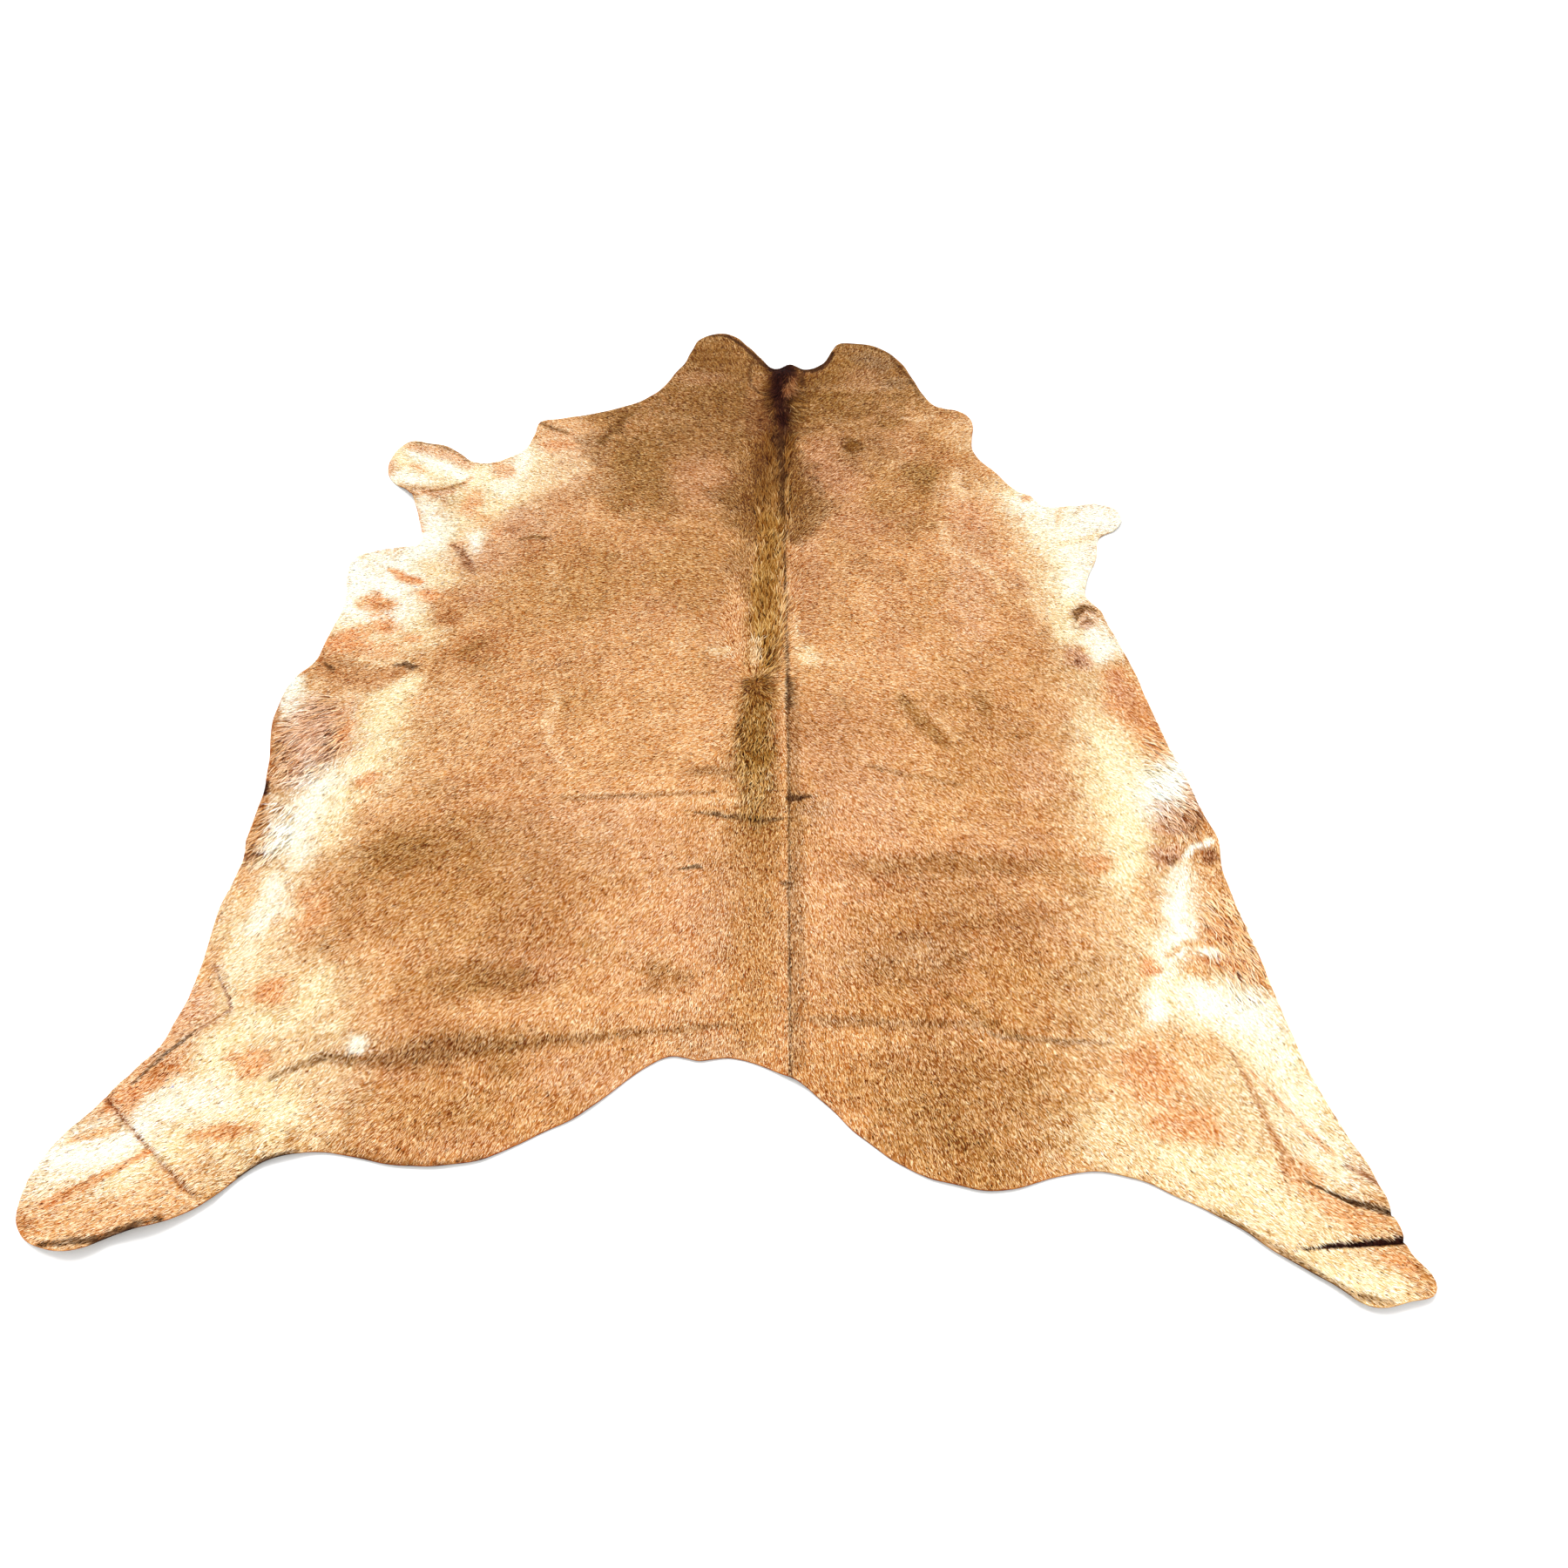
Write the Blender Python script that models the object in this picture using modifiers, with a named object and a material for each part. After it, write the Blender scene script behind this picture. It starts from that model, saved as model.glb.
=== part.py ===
"""A whole cowhide laid out flat with the hair side up, neck towards +Y and hind legs towards -Y.

Metres, Z up. The origin is on the floor, under the middle of the hide's box. The hide is one thin
sheet of leather. Its cut edge is a closed curve through the landmarks of the tables below, and its
underside lies on the floor except under the folds, the swells and the lifted stretches of the rim.
"""

import math

import bmesh
import bpy
import numpy as np
from mathutils import Vector
from mathutils.geometry import delaunay_2d_cdt

HIDE_WIDTH = 2.005  # across the tips of the hind legs
HIDE_LENGTH = 2.455  # from the left neck lobe to the right hind foot
LEATHER_THICKNESS = 0.0028

RIM_WIDTH = 0.085  # how far inwards a lifted stretch of the rim is still off the floor
EDGE_STEP = 0.024  # longest side of the cut edge's polygon
EDGE_WAVER = 0.0015  # the knife's own unevenness
PLAIN_STEP = 0.064  # distance between mesh points where the hide is flat
FOLD_STEP = 0.030  # distance between mesh points along a fold
NEAREST_POINTS = 0.42  # mesh points keep this share of their own step apart
CURVE_STEPS = 12  # straight pieces between two landmarks, before thinning
LYING_COLOUR = (0.50, 0.29, 0.13, 1.0)
COAT_ROUGHNESS = 0.85

# The cut edge, clockwise from the tip of the left neck lobe. Columns: x, y, lift off the floor.
NECK = (
    (-0.075, 1.225, 0.000),
    (-0.040, 1.215, 0.000),
    (0.000, 1.168, 0.000),
    (0.040, 1.100, 0.002),
    (0.080, 1.052, 0.004),
    (0.113, 1.067, 0.006),
    (0.147, 1.050, 0.004),
    (0.200, 1.080, 0.003),
    (0.221, 1.122, 0.009),
    (0.242, 1.165, 0.007),
    (0.276, 1.174, 0.002),
    (0.345, 1.158, 0.000),
    (0.395, 1.095, 0.000),
    (0.425, 1.015, 0.003),
    (0.445, 0.950, 0.000),
    (0.477, 0.893, 0.000),
)
RIGHT_SHOULDER = (
    (0.540, 0.863, 0.000),
    (0.560, 0.815, 0.003),
    (0.551, 0.755, 0.000),
    (0.554, 0.697, 0.000),
    (0.600, 0.615, 0.000),
    (0.640, 0.548, 0.003),
    (0.665, 0.532, 0.004),
)
RIGHT_FORELEG = (
    (0.685, 0.504, 0.000),
    (0.750, 0.500, 0.000),
    (0.825, 0.502, 0.003),
    (0.858, 0.470, 0.005),
    (0.847, 0.425, 0.003),
    (0.800, 0.388, 0.000),
    (0.780, 0.318, 0.000),
    (0.752, 0.255, 0.003),
    (0.737, 0.190, 0.006),
)
RIGHT_BELLY = (
    (0.762, 0.150, 0.005),
    (0.772, 0.105, 0.000),
    (0.788, 0.045, 0.000),
    (0.806, -0.070, 0.004),
    (0.825, -0.190, 0.000),
    (0.845, -0.300, 0.003),
    (0.860, -0.395, 0.006),
    (0.868, -0.455, 0.009),
    (0.866, -0.515, 0.003),
    (0.877, -0.610, 0.000),
    (0.891, -0.720, 0.004),
    (0.905, -0.830, 0.000),
)
RIGHT_HIND_LEG = (
    (0.921, -0.915, 0.000),
    (0.938, -0.975, 0.003),
    (0.959, -1.034, 0.004),
    (0.968, -1.104, 0.004),
    (0.979, -1.156, 0.004),
    (0.998, -1.202, 0.006),
    (0.955, -1.222, 0.013),
    (0.902, -1.227, 0.010),
    (0.855, -1.197, 0.007),
    (0.805, -1.163, 0.005),
    (0.740, -1.115, 0.003),
    (0.670, -1.075, 0.002),
    (0.600, -1.045, 0.002),
)
RIGHT_RUMP = (
    (0.550, -1.037, 0.002),
    (0.490, -1.048, 0.000),
    (0.400, -1.067, 0.003),
    (0.340, -1.056, 0.003),
    (0.275, -1.030, 0.000),
    (0.220, -0.990, 0.000),
    (0.165, -0.938, 0.001),
    (0.115, -0.896, 0.002),
)
TAIL = (
    (0.060, -0.871, 0.001),
    (0.010, -0.857, 0.000),
    (-0.035, -0.862, 0.002),
    (-0.075, -0.856, 0.002),
    (-0.110, -0.868, 0.000),
)
LEFT_RUMP = (
    (-0.150, -0.898, 0.000),
    (-0.200, -0.942, 0.002),
    (-0.270, -0.980, 0.000),
    (-0.330, -1.012, 0.002),
    (-0.390, -1.028, 0.004),
    (-0.450, -1.031, 0.004),
    (-0.520, -1.020, 0.002),
    (-0.600, -1.009, 0.004),
)
LEFT_HIND_LEG = (
    (-0.648, -1.018, 0.009),
    (-0.690, -1.039, 0.004),
    (-0.732, -1.079, 0.006),
    (-0.781, -1.113, 0.013),
    (-0.817, -1.124, 0.019),
    (-0.861, -1.138, 0.012),
    (-0.901, -1.157, 0.018),
    (-0.945, -1.150, 0.013),
    (-0.990, -1.125, 0.003),
    (-1.008, -1.088, 0.000),
    (-1.002, -1.030, 0.002),
    (-0.982, -0.982, 0.002),
    (-0.951, -0.940, 0.000),
    (-0.925, -0.903, 0.003),
    (-0.907, -0.876, 0.004),
    (-0.888, -0.848, 0.003),
    (-0.875, -0.800, 0.000),
)
LEFT_BELLY = (
    (-0.865, -0.730, 0.003),
    (-0.863, -0.670, 0.004),
    (-0.869, -0.600, 0.000),
    (-0.856, -0.500, 0.004),
    (-0.860, -0.400, 0.006),
    (-0.859, -0.325, 0.010),
    (-0.871, -0.255, 0.005),
    (-0.889, -0.180, 0.000),
    (-0.892, -0.110, 0.003),
    (-0.880, -0.045, 0.003),
    (-0.853, -0.005, 0.004),
    (-0.843, 0.060, 0.000),
    (-0.833, 0.200, 0.000),
    (-0.845, 0.262, 0.003),
    (-0.841, 0.316, 0.003),
    (-0.805, 0.343, 0.000),
    (-0.745, 0.358, 0.000),
)
LEFT_FORELEG = (
    (-0.707, 0.366, 0.005),
    (-0.713, 0.410, 0.004),
    (-0.728, 0.455, 0.000),
    (-0.741, 0.498, 0.004),
    (-0.755, 0.528, 0.014),
    (-0.780, 0.557, 0.006),
    (-0.815, 0.592, 0.000),
    (-0.836, 0.640, 0.004),
    (-0.834, 0.682, 0.003),
    (-0.819, 0.727, 0.000),
    (-0.797, 0.743, 0.003),
    (-0.760, 0.735, 0.004),
    (-0.720, 0.729, 0.000),
    (-0.677, 0.699, 0.000),
    (-0.640, 0.666, 0.000),
)
LEFT_SHOULDER = (
    (-0.600, 0.657, 0.003),
    (-0.560, 0.680, 0.000),
    (-0.520, 0.720, 0.000),
    (-0.507, 0.770, 0.003),
    (-0.499, 0.817, 0.003),
    (-0.445, 0.837, 0.002),
    (-0.350, 0.869, 0.000),
    (-0.290, 0.895, 0.000),
    (-0.240, 0.930, 0.003),
    (-0.205, 0.980, 0.000),
    (-0.185, 1.028, 0.003),
    (-0.160, 1.080, 0.000),
    (-0.143, 1.150, 0.000),
    (-0.122, 1.200, 0.000),
)
EDGE_STRETCHES = (
    NECK,
    RIGHT_SHOULDER,
    RIGHT_FORELEG,
    RIGHT_BELLY,
    RIGHT_HIND_LEG,
    RIGHT_RUMP,
    TAIL,
    LEFT_RUMP,
    LEFT_HIND_LEG,
    LEFT_BELLY,
    LEFT_FORELEG,
    LEFT_SHOULDER,
)

# The folds. Columns: name, width of the slope on the left of the crest as it runs, width on its
# right, and the crest's own landmarks. Columns of a landmark: x, y, height of the crest.
FOLDS = (
    ("back_crease", 0.030, 0.055, (
        (0.113, -0.880, 0.007),
        (0.112, -0.500, 0.007),
        (0.109, 0.000, 0.005),
        (0.105, 0.500, 0.006),
        (0.100, 1.030, 0.009),
    )),
    ("left_rump_wave", 0.095, 0.042, (
        (-0.715, -0.872, 0.000),
        (-0.640, -0.838, 0.010),
        (-0.560, -0.822, 0.012),
        (-0.450, -0.815, 0.018),
        (-0.300, -0.803, 0.015),
        (-0.150, -0.782, 0.009),
        (-0.020, -0.768, 0.000),
    )),
    ("right_rump_crease", 0.060, 0.025, (
        (0.140, -0.785, 0.004),
        (0.300, -0.783, 0.006),
        (0.450, -0.803, 0.006),
        (0.620, -0.812, 0.000),
    )),
    ("right_loin_crease", 0.055, 0.030, (
        (0.150, -0.462, 0.003),
        (0.350, -0.450, 0.006),
        (0.600, -0.448, 0.007),
        (0.868, -0.450, 0.008),
    )),
    ("left_loin_crease", 0.045, 0.020, (
        (-0.080, -0.360, 0.000),
        (0.000, -0.368, 0.006),
        (0.095, -0.362, 0.005),
    )),
    ("left_hind_pleat", 0.050, 0.014, (
        (-0.770, -0.760, 0.000),
        (-0.815, -0.800, 0.008),
        (-0.855, -0.845, 0.013),
        (-0.898, -0.885, 0.009),
    )),
    ("left_hind_diagonal", 0.012, 0.030, (
        (-0.750, -1.068, 0.009),
        (-0.804, -1.030, 0.007),
        (-0.842, -0.995, 0.005),
        (-0.896, -0.942, 0.005),
        (-0.940, -0.908, 0.004),
    )),
    ("left_hind_wave", 0.040, 0.030, (
        (-0.985, -1.088, 0.000),
        (-0.925, -1.060, 0.011),
        (-0.870, -1.030, 0.008),
        (-0.825, -0.985, 0.000),
    )),
    ("right_hind_upper_pleat", 0.035, 0.009, (
        (0.870, -1.045, 0.000),
        (0.919, -1.072, 0.009),
        (0.970, -1.100, 0.015),
    )),
    ("right_hind_lower_pleat", 0.030, 0.009, (
        (0.825, -1.144, 0.000),
        (0.900, -1.138, 0.009),
        (0.977, -1.133, 0.016),
    )),
    ("right_hind_long_wrinkle", 0.020, 0.030, (
        (0.800, -0.840, 0.000),
        (0.823, -0.920, 0.006),
        (0.842, -0.988, 0.007),
        (0.850, -1.060, 0.000),
    )),
    ("left_foreleg_crease", 0.040, 0.014, (
        (-0.755, 0.556, 0.010),
        (-0.708, 0.562, 0.007),
        (-0.665, 0.576, 0.006),
        (-0.630, 0.598, 0.000),
    )),
    ("left_shoulder_crease", 0.030, 0.016, (
        (-0.500, 0.812, 0.004),
        (-0.455, 0.806, 0.006),
        (-0.400, 0.782, 0.000),
    )),
    ("left_belly_pucker", 0.030, 0.030, (
        (-0.860, -0.450, 0.007),
        (-0.820, -0.462, 0.005),
        (-0.770, -0.470, 0.000),
    )),
)

# Broad low swells where the leather isn't pressed to the floor.
# Columns: x, y, half length, half width, turn of the long side from +X in degrees, height.
SWELLS = (
    (-0.560, -0.560, 0.260, 0.120, 12, 0.005),
    (0.560, -0.620, 0.240, 0.120, -8, 0.005),
    (-0.640, 0.080, 0.200, 0.110, 60, 0.005),
    (0.620, 0.040, 0.230, 0.110, 105, 0.005),
    (-0.250, 0.820, 0.170, 0.100, 20, 0.004),
    (0.330, 0.900, 0.170, 0.110, -35, 0.004),
    (0.620, -0.960, 0.170, 0.080, -25, 0.006),
    (-0.620, -0.955, 0.150, 0.060, 15, 0.004),
    (0.690, 0.400, 0.120, 0.070, 70, 0.004),
    (-0.720, 0.640, 0.110, 0.070, 20, 0.004),
)


def clear_scene():
    for obj in list(bpy.data.objects):
        bpy.data.objects.remove(obj, do_unlink=True)


def new_collection(name, is_guide):
    collection = bpy.data.collections.new(name)
    collection.hide_render = is_guide
    bpy.context.scene.collection.children.link(collection)
    return collection


def guide_curve(name, landmarks, closed, collection):
    """A smooth curve object through the landmarks, and its points in order as rows of x, y, z."""
    data = bpy.data.curves.new(name, "CURVE")
    data.dimensions = "3D"
    data.resolution_u = CURVE_STEPS
    spline = data.splines.new("BEZIER")
    spline.bezier_points.add(len(landmarks) - 1)
    spline.use_cyclic_u = closed
    for point, place in zip(spline.bezier_points, landmarks):
        point.co = place
    for point in spline.bezier_points:
        point.handle_left_type = "AUTO"
        point.handle_right_type = "AUTO"
    guide = bpy.data.objects.new(name, data)
    guide.hide_render = True
    guide.display_type = "WIRE"
    collection.objects.link(guide)
    bpy.context.view_layer.update()
    evaluated = guide.evaluated_get(bpy.context.evaluated_depsgraph_get())
    mesh = evaluated.to_mesh()
    points = np.array([vertex.co[:] for vertex in mesh.vertices])
    evaluated.to_mesh_clear()
    return points


def thinned_edge(points):
    """The cut edge with its landmarks kept and only as many points between them as EDGE_STEP asks."""
    kept = []
    for start in range(0, len(points), CURVE_STEPS):
        stretch = np.vstack([points, points[:1]])[start : start + CURVE_STEPS + 1]
        length = np.linalg.norm(np.diff(stretch[:, :2], axis=0), axis=1).sum()
        for pieces in (1, 2, 3, 4, 6, 12):
            if length / pieces <= EDGE_STEP:
                break
        kept.extend(stretch[:-1 : CURVE_STEPS // pieces])
    return np.array(kept)


def wavered_edge(edge):
    """The cut edge with the small unevenness that a knife leaves, pushed along its own normal."""
    ahead = np.roll(edge[:, :2], -1, axis=0) - np.roll(edge[:, :2], 1, axis=0)
    ahead /= np.linalg.norm(ahead, axis=1)[:, None]
    steps = np.linalg.norm(np.roll(edge[:, :2], -1, axis=0) - edge[:, :2], axis=1)
    run = np.concatenate([[0.0], np.cumsum(steps)[:-1]]) * 2 * math.pi
    push = np.sin(run / 0.13 + 0.4) * 0.5 + np.sin(run / 0.071 + 2.0) * 0.3 + np.sin(run / 0.29) * 0.2
    wavered = edge.copy()
    wavered[:, 0] -= ahead[:, 1] * push * EDGE_WAVER
    wavered[:, 1] += ahead[:, 0] * push * EDGE_WAVER
    return wavered


def fitted(rows, low, high):
    """Rows of x, y, z moved and scaled so that the box from low to high gets the hide's driving size."""
    size = np.array([HIDE_WIDTH, HIDE_LENGTH])
    moved = rows.copy()
    moved[:, :2] = (rows[:, :2] - (low + high) / 2) * size / (high - low)
    return moved


def is_inside(points, edge):
    """Which of the points lie inside the closed polygon of the edge."""
    inside = np.zeros(len(points), bool)
    for (x0, y0), (x1, y1) in zip(edge[:, :2], np.roll(edge[:, :2], -1, axis=0)):
        if y0 == y1:
            continue
        crosses = (points[:, 1] > min(y0, y1)) & (points[:, 1] <= max(y0, y1))
        inside ^= crosses & (points[:, 0] < x0 + (points[:, 1] - y0) * (x1 - x0) / (y1 - y0))
    return inside


def rounded_slope(share):
    """1 at a crest, 0 at the foot of its slope, level at both."""
    return 0.5 + 0.5 * np.cos(math.pi * np.clip(share, 0.0, 1.0))


def nearest_on_path(points, path):
    """Per point: distance to the path, whether it is on its left, and the crest's height there."""
    best = np.full(len(points), np.inf)
    on_left = np.zeros(len(points), bool)
    height = np.zeros(len(points))
    for start, end in zip(path[:-1], path[1:]):
        along = end[:2] - start[:2]
        share = np.clip((points[:, :2] - start[:2]) @ along / (along @ along), 0.0, 1.0)
        away = points[:, :2] - (start[:2] + share[:, None] * along)
        distance = np.linalg.norm(away, axis=1)
        closer = distance < best
        best = np.where(closer, distance, best)
        on_left = np.where(closer, along[0] * away[:, 1] - along[1] * away[:, 0] > 0, on_left)
        height = np.where(closer, start[2] + share * (end[2] - start[2]), height)
    return best, on_left, height


def underside_height(points, edge, folds):
    """Height of the underside off the floor: the folds, the swells and the lifted rim added up."""
    total = np.zeros(len(points))
    for left_width, right_width, path in folds:
        distance, on_left, height = nearest_on_path(points, path)
        width = np.where(on_left, left_width, right_width)
        total += height * rounded_slope(distance / width)
    for x, y, half_length, half_width, turn, height in SWELLS:
        turn = math.radians(turn)
        along = (points[:, 0] - x) * math.cos(turn) + (points[:, 1] - y) * math.sin(turn)
        across = (points[:, 1] - y) * math.cos(turn) - (points[:, 0] - x) * math.sin(turn)
        total += height * rounded_slope(np.hypot(along / half_length, across / half_width))
    rim = np.zeros(len(points))
    for x, y, lift in edge:
        share = np.hypot(points[:, 0] - x, points[:, 1] - y) / RIM_WIDTH
        rim = np.maximum(rim, lift * np.clip(1.0 - share, 0.0, 1.0) ** 2)
    return total + rim


def fold_rows(left_width, right_width, path):
    """Mesh points along a fold: its crest and rows half way down and at the foot of both slopes."""
    steps = np.linalg.norm(np.diff(path[:, :2], axis=0), axis=1)
    run = np.concatenate([[0.0], np.cumsum(steps)])
    stops = np.linspace(0.0, run[-1], max(2, round(run[-1] / FOLD_STEP) + 1))
    crest = np.stack([np.interp(stops, run, path[:, axis]) for axis in (0, 1)], axis=1)
    ahead = np.gradient(crest, axis=0)
    ahead /= np.linalg.norm(ahead, axis=1)[:, None]
    left = np.stack([-ahead[:, 1], ahead[:, 0]], axis=1)
    offsets = (0.0, left_width, -right_width, left_width / 2, -right_width / 2)
    return [(crest + left * offset, min(FOLD_STEP, abs(offset) or right_width)) for offset in offsets]


def plain_lattice(half_width, half_length):
    """Rows of equilateral triangles over the whole box."""
    points = []
    row_step = PLAIN_STEP * math.sqrt(3) / 2
    for row in range(-round(half_length / row_step), round(half_length / row_step) + 1):
        shift = PLAIN_STEP / 2 * (row % 2)
        for column in range(-round(half_width / PLAIN_STEP) - 1, round(half_width / PLAIN_STEP) + 1):
            points.append((column * PLAIN_STEP + shift, row * row_step))
    return np.array(points)


def spread_points(edge, folds):
    """Mesh points inside the edge, the folds' rows first, none too near to the edge or each other."""
    wanted = [row for fold in folds for row in fold_rows(*fold)]
    wanted.append((plain_lattice(HIDE_WIDTH / 2, HIDE_LENGTH / 2), PLAIN_STEP))
    kept = edge[:, :2]
    for points, step in wanted:
        for point in points[is_inside(points, edge)]:
            if np.hypot(*(kept - point).T).min() > step * NEAREST_POINTS:
                kept = np.vstack([kept, point])
    return kept


def hide_mesh(edge, folds):
    """The underside as one open surface: a triangulation of the outline, raised by its folds."""
    points = spread_points(edge, folds)
    outline = list(range(len(edge)))
    flat, _, triangles, _, _, _ = delaunay_2d_cdt(
        [Vector(point) for point in points], [], [outline], 1, 1e-6
    )
    places = np.array([point[:] for point in flat])
    heights = underside_height(places, edge, folds)
    mesh = bpy.data.meshes.new("hide")
    built = bmesh.new()
    corners = [built.verts.new((x, y, z)) for (x, y), z in zip(places, heights)]
    for triangle in triangles:
        built.faces.new([corners[index] for index in triangle])
    bmesh.ops.recalc_face_normals(built, faces=built.faces)
    if sum(face.normal.z for face in built.faces) < 0:
        bmesh.ops.reverse_faces(built, faces=built.faces)
    built.to_mesh(mesh)
    built.free()
    return mesh


def coat_material():
    material = bpy.data.materials.new("hair_on_leather")
    material.use_nodes = True
    shader = material.node_tree.nodes["Principled BSDF"]
    shader.inputs["Base Color"].default_value = LYING_COLOUR
    shader.inputs["Roughness"].default_value = COAT_ROUGHNESS
    shader.inputs["Metallic"].default_value = 0.0
    return material


def build_hide():
    parts = new_collection("cowhide", is_guide=False)
    guides = new_collection("guides", is_guide=True)
    landmarks = [row for stretch in EDGE_STRETCHES for row in stretch]
    edge = wavered_edge(thinned_edge(guide_curve("cut_edge", landmarks, True, guides)))
    low, high = edge[:, :2].min(axis=0), edge[:, :2].max(axis=0)
    folds = []
    for name, left_width, right_width, crest in FOLDS:
        path = guide_curve(name, crest, False, guides)
        folds.append((left_width, right_width, fitted(path, low, high)))
    hide = bpy.data.objects.new("hide", hide_mesh(fitted(edge, low, high), folds))
    hide.data.materials.append(coat_material())
    hide.data.shade_smooth()
    parts.objects.link(hide)
    leather = hide.modifiers.new("leather", "SOLIDIFY")
    leather.thickness = LEATHER_THICKNESS
    leather.offset = 1.0


clear_scene()
build_hide()
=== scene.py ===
"""The looks of a whole cowhide laid out flat: a leather sheet with its creases, a lying coat of short
hair that follows the animal's own hair flow and patches, a pale floor, soft light and the camera.

Metres, Z up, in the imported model's frame: neck towards +Y, hair side up, seen with +X to the right.
"""

import math

import bmesh
import bpy
import numpy as np
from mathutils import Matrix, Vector
from mathutils.bvhtree import BVHTree
from mathutils.geometry import delaunay_2d_cdt
from mathutils.kdtree import KDTree


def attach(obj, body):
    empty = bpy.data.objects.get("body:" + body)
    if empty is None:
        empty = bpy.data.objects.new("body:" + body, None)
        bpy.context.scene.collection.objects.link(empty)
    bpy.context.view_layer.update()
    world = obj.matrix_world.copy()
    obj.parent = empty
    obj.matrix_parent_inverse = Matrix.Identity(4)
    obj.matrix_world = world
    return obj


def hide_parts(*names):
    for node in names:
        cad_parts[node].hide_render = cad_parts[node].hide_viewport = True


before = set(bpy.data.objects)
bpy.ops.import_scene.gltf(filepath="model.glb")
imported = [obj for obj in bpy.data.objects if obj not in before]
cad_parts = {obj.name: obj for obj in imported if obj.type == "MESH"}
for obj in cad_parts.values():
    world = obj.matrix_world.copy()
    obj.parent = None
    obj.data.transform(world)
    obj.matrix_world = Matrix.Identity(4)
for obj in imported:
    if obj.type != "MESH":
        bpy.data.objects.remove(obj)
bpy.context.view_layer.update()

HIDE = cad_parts["hide"]
CENTIMETRE = 0.01

# The leather sheet
LEATHER_THICKNESS = 0.0028
SHEET_STEP = 0.0125  # distance between mesh points where the leather has no crease
SHEET_GAP = 0.5 * SHEET_STEP  # least distance of such a point from the rim and the creases
OUTLINE_STEP = 0.007
CREASE_STEP = 0.006
CREASE_GAP = 0.4 * CREASE_STEP  # least distance of a crease's points from the rim
CREASE_OFFSETS = (0.0, 0.5, -0.5, 1.1, -1.1)  # rows of points along a crease, in half widths from it
WELD_DISTANCE = 1e-6
STEEPEST_UPPER = 0.3  # least upward share of a normal on the solid's upper face
INSIDE_ONLY = 1  # the triangulation keeps what lies within the outline
MERGE_DISTANCE = 1e-7
SMOOTH_PASSES = 5
SMOOTH_SHARE = 0.6
SWELL_HEIGHT = 0.0006  # mean height of a slight unevenness everywhere
SWELL_STEP = 0.09
STEEPEST_UNDER = 0.75  # least upward share of a normal that the thickness makes up for
CUT_EDGE_BULGE = 0.0004
CUT_EDGE_ANGLE = 50.0  # degrees between two faces from which the edge between them is sharp

# The lying coat. The pairs are the least and the most, as shares of the value before them.
SHORT_HAIR_SEED = 7
HAIR_COUNT = 750_000
HAIR_LENGTH = 0.0060
HAIR_LENGTHS = (0.65, 1.35)
HAIR_WIDTH = 0.0014
HAIR_WIDTHS = (0.7, 1.3)
HAIR_LIFT = 11.0  # degrees off the leather
HAIR_LIFTS = (0.5, 1.5)
HAIR_ROLL = 26.0  # degrees either way
HAIR_STRAY = 14.0  # degrees off the flow, which one hair in ten passes
STRAY_SPREAD = 0.6  # standard deviation, as a share of it
ROOT_HEIGHT = 0.0004  # of the roots over the leather
LOWEST_HAIR = 0.0003  # over the floor
OVERHANG_PASSES = 5
OVERHANG_KEEP = 0.6  # share of its length that a hair keeps in each pass
COAT_BANDS = ("hair_rump", "hair_loin", "hair_shoulders", "hair_neck")  # bands across the hide

# The longer hair
LONG_HAIR_SEED = 8
LONG_HAIR_COUNT = 17_000
LONG_HAIR_PLACES = 40  # places to choose from for each of these hairs
LONG_HAIR_CORE = 0.2  # share of an area's half size from which its hair thins out
LONG_HAIR_LENGTHS = (0.6, 1.3)  # shares of the area's own length
LONG_HAIR_WIDTH = 0.0016
LONG_HAIR_STRAY = 1.3 * HAIR_STRAY
LONG_HAIR_BEND = 0.14  # sideways, as a share of the length
LONG_HAIR_RISE = 0.0055  # greatest height over the leather
LONG_HAIR_RISES = (0.4, 1.3)
STEEPEST_RISE = 0.35  # as a share of the length
LONG_HAIR_ARCH = 0.6  # how much of half a wave the rise follows from root to tip
LONG_HAIR_CUTS = ((0.0, 1.0), (0.4, 0.85), (0.75, 0.5), (1.0, 0.0))  # shares of length and of width

# Tones of the coat. Below 0 is darker and richer, above 0 lighter and paler.
HAIR_TONES = 0.75
CLUMP_TONES = 0.45
CLUMP_STEP = 0.0020
SOFT_TONES = 0.18
TUFT_STEP = 0.020
PATCH_STEP = 0.070
# Each hair is painted darker at its root, as shade among the hairs, and lighter at its tip, as painted
# light caught on the tips.
ROOT_TONE = -0.45
TIP_TONE = 0.30
# the leather between the hairs is painted darker, as shade among them
SKIN_TONE = -0.75
EDGE_TONE = -0.80  # the cut edge is darker still, as painted shade along it
DEEP_COLOUR = 0.18  # mean light below which tones count for less
DEEP_SHARE = 0.35  # share of a tone that still counts on black
RICHNESS = 0.8  # how much a tone deepens or pales a colour
LIGHTNESS = 0.25  # how much it also darkens or lightens all colours alike
ALBEDO_GAIN = 0.92
BRIGHTEST = 0.97
HAIR_TINT = (0.0, 0.05, 0.16)  # spread of the green and the blue share

# How the coat is painted. Lengths are in centimetres.
NOISE_CELLS = 256
NOISE_OCTAVES = 3
WARP_REACH = 2.0  # how far the broad warp moves a border
WARP_STEP = 6.0
FINE_WARP_STEP = 1.9
RAGGED_STEP = 1.4
RAGGED_SHARE = 0.35  # how far the ragged noise moves a border, in half widths
SPECKLE_STEP = 0.35
GAP_STEP = 2.2
GAP_LEVEL = 0.5
GAP_CONTRAST = 0.8
GAP_SHARE = 0.35  # strength that a thin line loses in its gaps
THIN_LINE = 0.65  # a path with a smaller half width has gaps
WIDE_LINE = 1.5  # a path with a larger half width has a softer border
WIDE_SOFTNESS = 0.5
ROUND_REACH = 1.4  # how far out a field or spot is painted, in half sizes
ROUND_MARGIN = 3.0  # and how much further
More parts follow.
